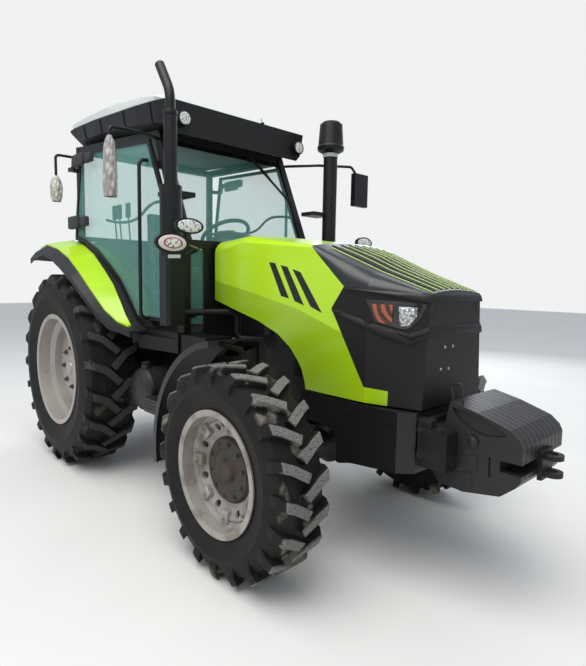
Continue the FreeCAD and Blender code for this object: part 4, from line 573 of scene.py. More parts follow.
def moulding(name, colour, roughness, coat=0.15):
    """Moulded plastic or smooth paint, with a faint cloud and a fine grain."""
    cover = Finish(name, Roughness=roughness, Coat_Weight=coat, Coat_Roughness=0.3, Specular_IOR_Level=0.35)
    cloud = cover.noise(2.5, 4.0)
    cover.set(Base_Color=cover.mix(cloud.ramp(0.4, 0.7), colour, tuple(c * 1.2 for c in colour)),
              Roughness=roughness + cloud * 0.1)
    cover.bump(cover.noise(300.0, 2.0), 0.00015)
    return cover


dress(moulding("lower_cover", COVER_BROWN, 0.36), "lower_cover")
core = Finish("radiator_core", Roughness=0.5)
_, _, z = core.axes()
fins = (z * FIN_PITCH).wave()
# The fins are painted as stripes: a painted highlight on each fin and painted shade in the gaps between them.
core.set(Base_Color=core.mix(fins.ramp(-0.4, 0.6), FIN_GAP_SHADE, FIN_LIT))
core.bump(fins, 0.002)
dress(core, "radiator")

# Front mudguards: thin moulded arches on steel brackets, which turn with the wheels.
# Two bolts through the arch hold it to each bracket.
GUARD_BLACK = (0.0045, 0.0045, 0.0048)
GUARD_BOLT_XS, GUARD_BOLT_Y = (0.80, 0.70), 0.70
GUARD_BOLT_RADIUS, GUARD_BOLT_HEIGHT = 0.011, 0.009

guard = moulding("guard_plastic", GUARD_BLACK, 0.34, 0.3)
dress(guard, "mudguard_left", "mudguard_right")
for side, way in (("left", 1), ("right", -1)):
    places = [above(f"mudguard_{side}", x, GUARD_BOLT_Y * way) for x in GUARD_BOLT_XS]
    nut(places[0], (0, 0, 1), GUARD_BOLT_RADIUS, GUARD_BOLT_HEIGHT)
    spread(places)
    keep(f"guard_bolts_{side}", nut_steel, f"knuckle_{side}")

# Hood: lime gloss paint on pressed steel, with a pressed crease down each side that leans its lower half in.
# Three slanted black bands of film lie on each side.
LIME = (0.475, 0.775, 0.010)
FILM_BLACK, FILM_WORN, FILM_THICK = (0.006, 0.006, 0.0055), (0.011, 0.011, 0.010), 0.0008
# x and z of the crease from the rear, and of the corners of each band
CREASE = [(0.10, 1.555), (0.528, 1.472), (0.908, 1.406), (1.307, 1.279)]
CREASE_LEAN = 0.30
STRIPES = [
    [(0.712, 1.660), (0.768, 1.654), (0.898, 1.444), (0.827, 1.456)],
    [(0.819, 1.641), (0.881, 1.629), (1.026, 1.408), (0.946, 1.431)],
    [(0.924, 1.617), (0.992, 1.599), (1.170, 1.373), (1.079, 1.405)],
]


def face_out():
    """Turns the open mesh's normals outward and ends its editing."""
    bpy.ops.mesh.select_all(action="SELECT")
    bpy.ops.mesh.normals_make_consistent(inside=False)
    bpy.ops.object.mode_set(mode="OBJECT")


def plate(corners, push):
    """A flat piece through its corner points, pushed out by a depth vector."""
    start()
    bpy.ops.mesh.primitive_circle_add(vertices=len(corners), fill_type="NGON")
    for vertex, corner in zip(bpy.context.object.data.vertices, corners):
        vertex.co = corner
    bpy.ops.object.mode_set(mode="EDIT")
    bpy.ops.mesh.select_all(action="SELECT")
    bpy.ops.mesh.extrude_region_move(TRANSFORM_OT_translate={"value": push})
    face_out()
    return bpy.context.object


lime = Finish("lime_paint", Roughness=0.30, Coat_Weight=0.5, Coat_Roughness=0.15)
lime.set(Base_Color=lime.mix(lime.noise(2.0, 3.0), LIME, tuple(c * 0.95 for c in LIME)))
lime.bump(lime.noise(240.0, 2.0), 0.0001)
dress(lime, "fender_panels")

hood_paint = Finish("hood_paint", Roughness=0.28, Coat_Weight=0.5, Coat_Roughness=0.15)
hood_paint.set(Base_Color=hood_paint.mix(hood_paint.noise(2.0, 3.0), LIME, tuple(c * 0.95 for c in LIME)))
x, _, z = hood_paint.axes()
below = [(z0 + (x - x0) * ((z1 - z0) / (x1 - x0))) - z for (x0, z0), (x1, z1) in zip(CREASE, CREASE[1:])]
lean = below[0]
for fall in below[1:]:
    lean = lean.smaller(fall)
hood_paint.bump(lean.larger(0.0) * -CREASE_LEAN, 1.0)
dress(hood_paint, "hood")

stripe_film = Finish("stripe_film", Roughness=0.5)
stripe_film.set(Base_Color=stripe_film.mix(stripe_film.noise(30.0, 3.0), FILM_BLACK, FILM_WORN))
for side, way in (("left", 1), ("right", -1)):
    bands = []
    for corners in STRIPES:
        bands.append(plate([beside("hood", x, z, way) for x, z in corners], (0, FILM_THICK * way, 0)))
    joined(bands)
    keep(f"hood_stripes_{side}", stripe_film, "hood")

# Nose: a satin dark moulding on the hood's front. Its sloping top is glossier and painted a lighter grey, a painted sky
# reflection, and lime lines run down it between raised black ribs. Four small screws show on its front.
NOSE_TOP_SHEEN = (0.013, 0.013, 0.014)
# Height at which the glossy top with its painted reflection starts, at this x, and its fall toward the front
CROWN_Z, CROWN_X, CROWN_FALL, CROWN_EDGE = 1.50, 1.33, 0.05, 0.025
LINE_LIME, LINE_SHADE = (0.48, 0.64, 0.16), (0.40, 0.55, 0.13)
# Rear and front x of the lines, rear and front y of each, and their sizes and the ribs'
LINE_REAR_X, LINE_FRONT_X = 1.145, 1.766
LINE_YS = [(-0.275, -0.222), (-0.200, -0.160), (-0.130, -0.105), (-0.065, -0.052), (0.0, 0.0),
           (0.065, 0.052), (0.130, 0.105), (0.200, 0.160), (0.275, 0.222)]
LINE_WIDTH, LINE_HEIGHT = 0.006, 0.0020
RIB_WIDTH, RIB_HEIGHT = 0.022, 0.0012
RIB_PAST_REAR, RIB_SHORT_FRONT = 0.03, 0.004
SCREW_YZS = [(-0.096, 1.226), (-0.020, 1.226), (-0.128, 1.115), (-0.053, 1.112)]
SCREW_RADIUS, SCREW_HEIGHT = 0.0055, 0.004

nose_skin = Finish("nose_cover", Coat_Roughness=0.25, Specular_IOR_Level=0.30)
x, _, z = nose_skin.axes()
crown = (z - CROWN_Z + (x - CROWN_X) * CROWN_FALL).ramp(0.0, CROWN_EDGE)
cloud = nose_skin.noise(2.5, 4.0)
# The top's lighter grey colour is a painted sky reflection; its coat is real gloss.
nose_skin.set(Base_Color=nose_skin.mix(crown, COVER_BROWN, NOSE_TOP_SHEEN), Coat_Weight=crown * 0.5,
              Roughness=0.46 - crown * 0.14 + cloud * 0.06)
nose_skin.bump(nose_skin.noise(420.0, 2.0), 0.0003)
dress(nose_skin, "nose")

lime_line = Finish("lime_line", Roughness=0.35)
lime_line.set(Base_Color=lime_line.mix(lime_line.noise(40.0, 2.0), LINE_LIME, LINE_SHADE))
rib_black = moulding("rib_black", (0.008, 0.008, 0.009), 0.65, 0.0)


def laid(node, line, width, way, thick, cuts=24):
    """A strip along a line, pressed on to a CAD node along a direction and given a thickness."""
    (first, last), way = [Vector(point) for point in line], Vector(way)
    across = way.cross(last - first).normalized() * width / 2
    start()
    bpy.ops.mesh.primitive_grid_add(x_subdivisions=cuts, y_subdivisions=1, size=1)
    made = bpy.context.object
    for vertex in made.data.vertices:
        above = first.lerp(last, vertex.co.x + 0.5) + across * 2 * vertex.co.y
        vertex.co = touch(node, above, way) - way * thick
    wall = made.modifiers.new("wall", "SOLIDIFY")
    wall.thickness, wall.offset = thick * 2, 0.0
    bpy.ops.object.modifier_apply(modifier="wall")
    bpy.ops.object.mode_set(mode="EDIT")
    face_out()
    return made


lines, ribs = [], []
for rear_y, front_y in LINE_YS:
    line = [(LINE_REAR_X, rear_y, HIGH_Z), (LINE_FRONT_X, front_y, HIGH_Z)]
    lines.append(laid("nose", line, LINE_WIDTH, (0, 0, -1), LINE_HEIGHT))
for (rear_a, front_a), (rear_b, front_b) in zip(LINE_YS, LINE_YS[1:]):
    line = [(LINE_REAR_X - RIB_PAST_REAR, (rear_a + rear_b) / 2, HIGH_Z),
            (LINE_FRONT_X - RIB_SHORT_FRONT, (front_a + front_b) / 2, HIGH_Z)]
    ribs.append(laid("nose", line, RIB_WIDTH, (0, 0, -1), RIB_HEIGHT))
joined(lines)
keep("nose_lime_lines", lime_line, "hood")
joined(ribs)
keep("nose_ribs", rib_black, "hood")

screw = Finish("bright_screw", Metallic=0.9, Base_Color=(0.6, 0.6, 0.6))
screw.set(Roughness=0.3 + screw.noise(90.0, 2.0) * 0.15)
places = [touch("nose", (AHEAD_X, y, z), (-1, 0, 0)) for y, z in SCREW_YZS]
nut(places[0], (1, 0, 0), SCREW_RADIUS, SCREW_HEIGHT)
spread(places)
keep("nose_screws", screw, "hood")

# Shade sheet: a flat black sheet that closes the lower cover's top in front of the radiator, a painted shadow under the
# nose.
# It lies against the cover's inner edge, so no light shows below the nose.
SHADE_SHEET_BLACK = (0.006, 0.006, 0.006)
TRAY_OUTLINE = [(1.436, 0.358), (1.689, 0.358), (1.751, 0.305)]
TRAY_Z, TRAY_THICK = 0.904, 0.008

# A flat black sheet, painted shade where the space under the nose lies in shadow.
plate([(x, -y, TRAY_Z) for x, y in TRAY_OUTLINE] + [(x, y, TRAY_Z) for x, y in reversed(TRAY_OUTLINE)],
      (0, 0, TRAY_THICK))
keep("nose_shade_sheet", moulding("painted_shade_sheet", SHADE_SHEET_BLACK, 0.75, 0.0), "chassis")

# Nose bands: a visor band under the top's edge and a sharp stepped shelf below the lamps.
# Both belong to the moulding, run down both sides and meet on the front.
NOSE_BANDS = {
    # x, y, lower and upper height, outward x and y of each station, from a side's rear end to the middle
    "nose_visor": [(1.335, -0.372, 1.513, 1.521, 0, -1), (1.496, -0.366, 1.500, 1.510, 0.1, -1),
                   (1.634, -0.313, 1.478, 1.502, 0.35, -0.94), (1.740, -0.273, 1.456, 1.495, 0.5, -0.87),
                   (1.775, -0.247, 1.453, 1.490, 0.8, -0.6), (1.775, 0, 1.457, 1.504, 1, 0)],
    "nose_shelf": [(1.251, -0.372, 1.388, 1.400, 0, -1), (1.436, -0.370, 1.326, 1.362, 0, -1),
                   (1.575, -0.337, 1.276, 1.325, 0.3, -0.95), (1.698, -0.298, 1.243, 1.297, 0.4, -0.92),
                   (1.775, -0.258, 1.284, 1.335, 0.8, -0.6), (1.775, 0, 1.288, 1.338, 1, 0)],
}
# A band's section: how far out each corner stands, and its height as a share of the band's
BAND_SECTION = [(-0.004, 1.0), (0.003, 1.0), (0.0125, 0.35), (0.0125, 0.0), (-0.004, 0.0)]


def bridged(rings):
    """A skin over closed rings of corners, each bridged to the next, which is left open for editing."""
    loops = []
    for corners in rings:
        start()
        bpy.ops.mesh.primitive_circle_add(vertices=len(corners))
        for vertex, corner in zip(bpy.context.object.data.vertices, corners):
            vertex.co = corner
        loops.append(bpy.context.object)
    joined(loops)
    bpy.ops.object.mode_set(mode="EDIT")
    bpy.ops.mesh.select_all(action="SELECT")
    bpy.ops.mesh.bridge_edge_loops()


for band_name, half in NOSE_BANDS.items():
    stations = half + [(x, -y, low, high, out_x, -out_y) for x, y, low, high, out_x, out_y in reversed(half[:-1])]
    bridged([[(x + out * out_x, y + out * out_y, low + (high - low) * share) for out, share in BAND_SECTION]
             for x, y, low, high, out_x, out_y in stations])
    bpy.ops.mesh.select_all(action="DESELECT")
    bpy.ops.mesh.select_non_manifold()
    bpy.ops.mesh.edge_face_add()
    face_out()
    soften(0.002)
    keep(band_name, nose_skin, "hood")

# Headlamps: a black bezel with an orange turn lamp behind and a clear lamp in front, under ribbed lenses.
# They are let in to the nose's upper corners, beside a recess on the front, whose shade is painted as a thin black
# sheet.
BEZEL_BLACK = (0.010, 0.010, 0.011)
ORANGE, ORANGE_SHADE = (0.36, 0.085, 0.028), (0.045, 0.012, 0.006)
REFLECTOR, REFLECTOR_SHADE = (0.62, 0.62, 0.61), (0.14, 0.14, 0.14)
# x and z of the corners on a side, and y and z of the corners of the recess's painted shade on the front
BEZEL_OUTLINE = [(1.475, 1.461), (1.620, 1.455), (1.764, 1.444), (1.747, 1.382), (1.700, 1.326), (1.665, 1.318),
                 (1.527, 1.347)]
LENSES = {
    "turn_lens": [(1.505, 1.439), (1.612, 1.437), (1.610, 1.345), (1.576, 1.341), (1.539, 1.350)],
    "lamp_lens": [(1.640, 1.430), (1.728, 1.428), (1.727, 1.385), (1.692, 1.336), (1.650, 1.333)],
}
RECESS_SHADE = [(0.272, 1.440), (0.193, 1.440), (0.226, 1.378), (0.262, 1.372)]
BEZEL_SINK, BEZEL_THICK, LENS_SINK, LENS_THICK, RECESS_THICK = 0.003, 0.006, 0.001, 0.004, 0.0012
FLUTE_X, FLUTE_Z, FLUTE_PITCH = 1.66, 1.44, 150.0

bezel = moulding("lamp_bezel", BEZEL_BLACK, 0.2, 0.8)
dress(bezel, "headlamps")
orange = Finish("orange_lens", Roughness=0.12, Coat_Weight=0.6)
x, _, z = orange.axes()
flutes = (((x - FLUTE_X) ** 2.0 + (z - FLUTE_Z) ** 2.0) ** 0.5 * FLUTE_PITCH).wave()
# Each flute is painted in rings of painted highlight and painted shade, from the bright orange to its dark shade.
orange.set(Base_Color=orange.mix(flutes.ramp(-0.5, 0.5), ORANGE_SHADE, ORANGE))
orange.bump(flutes, 0.003)
clear = Finish("clear_lens", Roughness=0.1, Metallic=0.35, Coat_Weight=0.8)
facet = clear.cells(75.0)
# The reflector's facets are painted: a bright painted reflection in each middle and painted shade toward its edges.
clear.set(Base_Color=clear.mix(facet.ramp(0.30, 0.85), REFLECTOR, REFLECTOR_SHADE))
clear.bump(facet, 0.004)
lens_finishes = {"turn_lens": orange, "lamp_lens": clear}
for side, way in (("left", 1), ("right", -1)):
    on_side = [beside("nose", x, z, way) for x, z in BEZEL_OUTLINE]
    plate([point - Vector((0, BEZEL_SINK * way, 0)) for point in on_side],
          (0.001, (BEZEL_THICK + BEZEL_SINK) * way, 0))
    soften(0.002)
    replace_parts(keep(f"lamp_bezel_{side}", bezel, "hood"), "headlamps")
    for lens_name, corners in LENSES.items():
        on_side = [beside("nose", x, z, way) for x, z in corners]
        plate([point + Vector((0, (BEZEL_THICK - LENS_SINK) * way, 0)) for point in on_side],
              (0.002, LENS_THICK * way, 0))
        soften(0.0015)
        keep(f"{lens_name}_{side}", lens_finishes[lens_name], "hood")
    # A thin black sheet on the front, painted shade for the recess.
    plate([touch("nose", (AHEAD_X, y * way, z), (-1, 0, 0)) for y, z in RECESS_SHADE], (RECESS_THICK, 0, 0))
    keep(f"lamp_recess_shade_{side}", rib_black, "hood")

# Cab frame, doors and roof shell: welded tube and pressed steel in black paint, with thin ribs on the roof's sides.
# The fenders' dark lips are moulded plastic, bolted to the cab.
CAB_BLACK = (0.0028, 0.0028, 0.0032)
FENDER_GREY = (0.014, 0.014, 0.0155)
# x, lower and upper height of each rib
ROOF_RIBS = [(-1.31, 2.700, 2.805), (-0.99, 2.685, 2.785), (-0.60, 2.660, 2.770), (-0.23, 2.610, 2.750)]
ROOF_RIB_WIDTH, ROOF_RIB_HEIGHT = 0.010, 0.003

cab_paint = moulding("cab_black", CAB_BLACK, 0.45, 0.1)
dress(cab_paint, "cab_frame", "door_frame_left", "door_frame_right", "cab_roof")
for side, way in (("left", 1), ("right", -1)):
    ribs = []
    for x, low_z, high_z in ROOF_RIBS:
        line = [(x, WIDE_Y * way, low_z), (x, WIDE_Y * way, high_z)]
        ribs.append(laid("cab_roof", line, ROOF_RIB_WIDTH, (0, -way, 0), ROOF_RIB_HEIGHT))
    joined(ribs)
    keep(f"roof_ribs_{side}", cab_paint, "chassis")
dress(moulding("fender_plastic", FENDER_GREY, 0.5, 0.1), "fenders")

# Door fittings: a lift handle on each door, two covered hinges behind it, and a bent grab bar inside.
# They are bolted to the door's frame, so they swing with it.
RUBBER_BLACK, COVER_GREY = (0.006, 0.006, 0.006), (0.035, 0.036, 0.038)
# In all places of this section y counts outward. The handle's are counted from where it stands on the door
HANDLE_X, HANDLE_Z = 0.008, 1.60
HANDLE_PLATE = [(-0.028, 0.002, -0.055), (0.012, 0.006, 0.055)]
HANDLE_BEND = [(-0.008, 0.004, 0.045), (-0.008, 0.020, 0.040), (-0.008, 0.022, 0.0), (-0.008, 0.020, -0.040),
               (-0.008, 0.004, -0.045)]
HANDLE_RADIUS = 0.006
# Two corners of each hinge's box, and of the tongue that reaches from it on to the door
HINGE_COVERS = [
    [(-1.46, 0.752, 1.955), (-1.26, 0.792, 2.060)], [(-1.29, 0.722, 1.970), (-1.16, 0.770, 2.050)],
    [(-1.34, 0.752, 2.455), (-1.14, 0.792, 2.550)], [(-1.17, 0.722, 2.470), (-1.04, 0.770, 2.540)],
]
GRAB_BEND = [(-1.05, 0.625, 2.02), (-0.95, 0.595, 1.99), (-0.60, 0.585, 1.98), (-0.42, 0.565, 2.10),
             (-0.22, 0.565, 2.10), (-0.12, 0.577, 2.08)]
GRAB_RADIUS = 0.011

rubber_black = moulding("rubber_black", RUBBER_BLACK, 0.7, 0.0)
cover_grey = moulding("cover_grey", COVER_GREY, 0.6, 0.0)


def bent(points, radius):
    """A round bar bent through points."""
    curve = bpy.data.curves.new("bar", "CURVE")
    curve.dimensions, curve.bevel_depth, curve.bevel_resolution, curve.use_fill_caps = "3D", radius, 3, True
    spline = curve.splines.new("NURBS")
    spline.points.add(len(points) - 1)
    for knot, point in zip(spline.points, points):
        knot.co = (*point, 1.0)
    spline.order_u, spline.use_endpoint_u, spline.resolution_u = 3, True, 6
    made = bpy.data.objects.new("bar", curve)
    bpy.context.scene.collection.objects.link(made)
    pick(made)
    bpy.ops.object.convert(target="MESH")
    bpy.ops.object.shade_smooth()
    return bpy.context.object


def outward(points, way, foot=Vector()):
    """Points on one side of the tractor, from a foot, whose y counts outward."""
    return [foot + Vector((x, y * way, z)) for x, y, z in points]


for side, way in (("left", 1), ("right", -1)):
    foot = beside(f"door_frame_{side}", HANDLE_X, HANDLE_Z, way)
    joined([block(*outward(HANDLE_PLATE, way, foot), 0.003, 2), bent(outward(HANDLE_BEND, way, foot), HANDLE_RADIUS)])
    keep(f"door_handle_{side}", rubber_black, f"door_{side}")
    joined([block(*outward(corners, way), 0.012) for corners in HINGE_COVERS])
    keep(f"hinge_covers_{side}", cover_grey, f"door_{side}")
    bent(outward(GRAB_BEND, way), GRAB_RADIUS)
    keep(f"door_bar_{side}", cab_paint, f"door_{side}")

# Windscreen and panes: tinted sheet glass, clear enough to see through, bonded to the frames.
# A black edge is printed down both sides of the windscreen and along its top.
GLASS_TINT, PRINT_BLACK = (0.27, 0.66, 0.60), (0.006, 0.006, 0.006)
PRINT_Y, PRINT_Z = 0.512, 2.50
# How much of what lies behind each is hidden
PANE_COVER, SCREEN_COVER, PRINT_COVER = 0.16, 0.12, 0.84

pane = Finish("door_glass", Base_Color=GLASS_TINT, Roughness=0.04, Coat_Weight=0.5)
pane.set(Alpha=PANE_COVER + pane.noise(1.5, 2.0) * 0.06)
dress(pane, "door_glass_left", "door_glass_right", "cab_windows")
screen = Finish("screen_glass", Roughness=0.04, Coat_Weight=0.5)
_, y, z = screen.axes()
edge = (abs(y) > PRINT_Y).larger(z > PRINT_Z)
screen.set(Base_Color=screen.mix(edge, GLASS_TINT, PRINT_BLACK), Alpha=SCREEN_COVER + edge * PRINT_COVER)
dress(screen, "windscreen")

# Wiper: a pressed arm, painted black, on a spindle through the frame's top rail.
# It carries a slim rubber blade in a steel back, which lies along the screen.
SPINDLE_ENDS, SPINDLE_RADIUS = [(-0.262, 0.10, 2.600), (-0.222, 0.10, 2.617)], 0.016
ARM_BEND, ARM_RADIUS = [(-0.228, 0.10, 2.612), (-0.205, 0.13, 2.58), (-0.130, 0.31, 2.40), (-0.118, 0.35, 2.352)], 0.006
BACK_BEND, BACK_RADIUS = [(-0.175, 0.205, 2.50), (-0.128, 0.33, 2.375), (-0.040, 0.50, 2.185)], 0.005
BLADE_BEND, BLADE_RADIUS = [(-0.196, 0.19, 2.515), (-0.139, 0.33, 2.372), (-0.052, 0.517, 2.168)], 0.004

rod(*SPINDLE_ENDS, SPINDLE_RADIUS, 20)
soften(0.003)
joined([bpy.context.object, bent(ARM_BEND, ARM_RADIUS), bent(BACK_BEND, BACK_RADIUS), bent(BLADE_BEND, BLADE_RADIUS)])
keep("wiper", rubber_black, "chassis")

# Roof cap: a pale moulded lid with a soft sheen, screwed over the roof shell.
# A short whip aerial stands on its left front, on a rubber foot.
CAP_PALE = (0.55, 0.59, 0.56)
AERIAL_X, AERIAL_Y = -0.30, 0.40
AERIAL_FOOT_RADIUS, AERIAL_FOOT_HEIGHT = 0.016, 0.010
MAST_RUN, MAST_RADIUS = (-0.02, 0, 0.05), 0.0025

dress(moulding("roof_cap", CAP_PALE, 0.38, 0.3), "roof_cap")
foot = above("roof_cap", AERIAL_X, AERIAL_Y)
rod(foot, foot + Vector((0, 0, AERIAL_FOOT_HEIGHT)), AERIAL_FOOT_RADIUS, 20)
soften(0.003)
joined([bpy.context.object, rod(foot, foot + Vector(MAST_RUN), MAST_RADIUS, 8)])
keep("aerial", rubber_black, "chassis")

# Driver's seat: two sewn foam pads in dark cloth, a cushion and a back, on a painted steel frame.
# The frame stands on a rubber bellows over its springs, which is bolted to the seat box.
CLOTH_DARK, CLOTH_LIGHT, WEAVE_PITCH = (0.030, 0.030, 0.033), (0.048, 0.048, 0.052), 1900.0
CUSHION_CORNERS = [(-1.080, -0.225, 1.555), (-0.650, 0.225, 1.640)]
BACK_CORNERS = [(-1.185, -0.215, 1.660), (-1.105, 0.215, 2.130)]
PAD_EDGE, PAD_MESH, PAD_PRESSURE, PAD_STEPS, PAD_SWELL = 0.022, 0.010, 4.0, 15, 0.012
FRAME_BARS = [[(-1.200, -0.14, 1.53), (-1.188, -0.10, 1.95)], [(-1.200, 0.10, 1.53), (-1.188, 0.14, 1.95)],
              [(-1.200, -0.20, 1.526), (-0.64, 0.20, 1.552)]]
BELLOWS_ZS, BELLOWS_FOLD = (1.4205, 1.446, 1.472, 1.498), 0.026

seat_cloth = Finish("seat_cloth", Roughness=0.92)
_, y, z = seat_cloth.axes()
seat_cloth.set(Base_Color=seat_cloth.mix(seat_cloth.noise(9.0, 4.0), CLOTH_DARK, CLOTH_LIGHT))
seat_cloth.bump((y * WEAVE_PITCH).wave() * 0.5 + (z * WEAVE_PITCH).wave() * 0.5, 0.0001)


def pad(name, corners):
    """A foam pad sewn in cloth: a rounded block that a cloth simulation fills, crowned and drawn in at its seams."""
    made = block(*corners, PAD_EDGE)
    remesh = made.modifiers.new("skin", "REMESH")
    remesh.mode, remesh.voxel_size = "VOXEL", PAD_MESH
    bpy.ops.object.modifier_apply(modifier="skin")
    cloth = made.modifiers.new("cloth", "CLOTH")
    cloth.settings.use_pressure = True
    cloth.settings.uniform_pressure_force = PAD_PRESSURE
    cloth.settings.effector_weights.gravity = 0.0
    before = [vertex.co.copy() for vertex in made.data.vertices]
    for number in range(1, PAD_STEPS + 1):
        bpy.context.scene.frame_set(number)
    bpy.ops.object.modifier_apply(modifier="cloth")
    bpy.context.scene.frame_set(1)
    for vertex, place in zip(made.data.vertices, before):
        moved = vertex.co - place
        if moved.length > PAD_SWELL:
            vertex.co = place + moved.normalized() * PAD_SWELL
    smooth = made.modifiers.new("smooth", "SMOOTH")
    smooth.factor, smooth.iterations = 0.5, 6
    bpy.ops.object.modifier_apply(modifier="smooth")
    bpy.ops.object.shade_smooth()
    keep(name, seat_cloth, "chassis")
    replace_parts(made, "seat")


pad("seat_cushion", CUSHION_CORNERS)
pad("seat_back", BACK_CORNERS)
joined([block(*corners, 0.003, 2) for corners in FRAME_BARS])
keep("seat_frame", cab_paint, "chassis")
joined([block((-1.06, -0.15, z), (-0.85, 0.15, z + BELLOWS_FOLD), 0.010) for z in BELLOWS_ZS])
keep("seat_bellows", rubber_black, "chassis")

# Controls: a moulded dash with a hood over it behind the wheel, and a console on the right of the seat.
# Three levers, steel rods with moulded knobs, stand in the console, which is screwed to the seat box.
DASH_GREY, DASH_TOP_GREY = (0.014, 0.014, 0.015), (0.012, 0.012, 0.013)
HOOD_MIDDLE, HOOD_HALVES, HOOD_FOOT = (-0.10, -0.02, 1.79), (0.15, 0.25, 0.125), (-0.10, 0, 1.77)
CONSOLE_CORNERS = [(-1.25, -0.53, 1.4205), (-0.72, -0.36, 1.60)]
LEVER_XS, LEVER_RADIUS = (-1.17, -1.08, -0.92), 0.006


def dome(middle, halves, foot, away, sides):
    """An egg of three half sizes, cut flat through its foot. What lies beyond, on the way away, is cut off."""
    start()
    bpy.ops.mesh.primitive_uv_sphere_add(segments=sides, ring_count=sides // 2, radius=1, location=middle)
    bpy.ops.transform.resize(value=halves)
    bpy.ops.object.transform_apply(location=False, rotation=False, scale=True)
    bpy.ops.object.mode_set(mode="EDIT")
    bpy.ops.mesh.select_all(action="SELECT")
    bpy.ops.mesh.bisect(plane_co=foot, plane_no=away, use_fill=True, clear_outer=True)
    bpy.ops.object.mode_set(mode="OBJECT")
    bpy.ops.object.shade_smooth_by_angle(angle=math.radians(40))


dress(moulding("dash_plastic", DASH_GREY, 0.55, 0.05), "controls")
dome(HOOD_MIDDLE, HOOD_HALVES, HOOD_FOOT, (0, 0, -1), 32)
keep("dash_hood", moulding("dash_top", DASH_TOP_GREY, 0.5, 0.05), "chassis")
levers = []
for x in LEVER_XS:
    levers += [rod((x + 0.02, -0.46, 1.42), (x, -0.50, 2.06), LEVER_RADIUS, 12),
               block((x - 0.03, -0.512, 2.04), (x + 0.03, -0.488, 2.16), 0.010)]
joined(levers + [block(*CONSOLE_CORNERS, 0.03)])
keep("side_console", rubber_black, "chassis")

# Exhaust and intake stacks: black painted steel tube. A clamp band holds the exhaust's bend,
# and the intake's bowl stands on a pale cup.
STACK_BLACK, SOOT_AND_SHADE_BLACK, CUP_PALE = (0.0045, 0.0045, 0.0048), (0.004, 0.004, 0.004), (0.42, 0.44, 0.42)
CLAMP_ENDS, CLAMP_RADIUS = [(0.185, -0.742, 2.556), (0.185, -0.742, 2.584)], 0.0455
MOUTH_ENDS, MOUTH_RADIUS = [(0.058, -0.742, 2.8952), (0.0576, -0.742, 2.8958)], 0.026
CUP_ENDS, CUP_RADIUS = [(0.165, 0.742, 2.556), (0.165, 0.742, 2.588)], 0.062

stack = cast_iron("stack_black", STACK_BLACK, 0.06, 0.42)
dress(stack, "exhaust", "air_intake", "mirror_left", "mirror_arms_right", "work_lamps")
rod(*CLAMP_ENDS, CLAMP_RADIUS, 40)
soften(0.002)
keep("exhaust_clamp", stack, "chassis")
# A thin matte disc in the pipe's open end: soot, and painted shade for the dark inside of the pipe.
rod(*MOUTH_ENDS, MOUTH_RADIUS, 32)
keep("exhaust_mouth", cast_iron("soot_and_shade", SOOT_AND_SHADE_BLACK, 0.0, 0.9), "chassis")
pale_cup = moulding("pale_cup", CUP_PALE, 0.35, 0.3)
rod(*CUP_ENDS, CUP_RADIUS, 40)
soften(0.004)
keep("intake_cup", pale_cup, "chassis")

# Work lamps: aluminium reflectors behind clear lenses, in rubber ringed housings, on an arm beside each pillar.
# The upper one has a black ring; the lower one is silver with a red lined oval, over a small bare white plate.
CUP_BRIGHT, CUP_GAP = (0.72, 0.72, 0.68), (0.16, 0.16, 0.15)
OVAL_RED, OVAL_PALE = (0.35, 0.05, 0.04), (0.62, 0.56, 0.55)
# The red line's middle and half width, and where the pale rim starts, as shares of the lens
OVAL_LINE, OVAL_LINE_HALF, OVAL_RIM = 0.62, 0.07, 0.70
# Name, x, outward y and z of the lens, half width, half height and whether it has the oval
LAMP_HEADS = [("upper_lamp", 0.5005, 0.800, 1.856, 0.0798, 0.0368, False),
              ("lower_lamp", 0.4985, 0.912, 1.751, 0.08988, 0.0464, True)]
HEAD_BULGE, HEAD_CELLS = 0.010, 70.0
WHITE_PLATE = [(0.497, 0.862, 1.688), (0.497, 0.942, 1.684), (0.497, 0.942, 1.664), (0.497, 0.862, 1.668)]
PLATE_THICK = 0.002
ROOF_RING_X, ROOF_LENS_X, ROOF_LAMP_Y, ROOF_LAMP_Z = 0.0105, 0.0103, 0.53, 2.625
ROOF_RING_RADIUS, ROOF_RING_THICK, ROOF_LENS_HALVES, ROOF_CELLS = 0.046, 0.005, (0.007, 0.044, 0.044), 95.0


def led_lens(name, cell, oval=None):
    """A clear lens over a field of cups, each painted with a bright reflection and painted shade between them, with a
    red lined oval of that middle and half sizes.
    """
    glass = Finish(name, Roughness=0.15, Coat_Weight=0.8)
    _, y, z = glass.axes()
    cups = glass.cells(cell)
    # The cups' brightness is a painted reflection, and the darker colour between them is painted shade.
    field = glass.mix(cups.ramp(0.50, 0.80), CUP_BRIGHT, CUP_GAP)
    if oval:
        middle_y, middle_z, half_y, half_z = oval
        reach = (((y - middle_y) / half_y) ** 2.0 + ((z - middle_z) / half_z) ** 2.0) ** 0.5
        field = glass.mix(abs(reach - OVAL_LINE) < OVAL_LINE_HALF, field, OVAL_RED)
        field = glass.mix(reach > OVAL_RIM, field, OVAL_PALE)
    glass.set(Base_Color=field)
    glass.bump(cups, 0.003)
    return glass


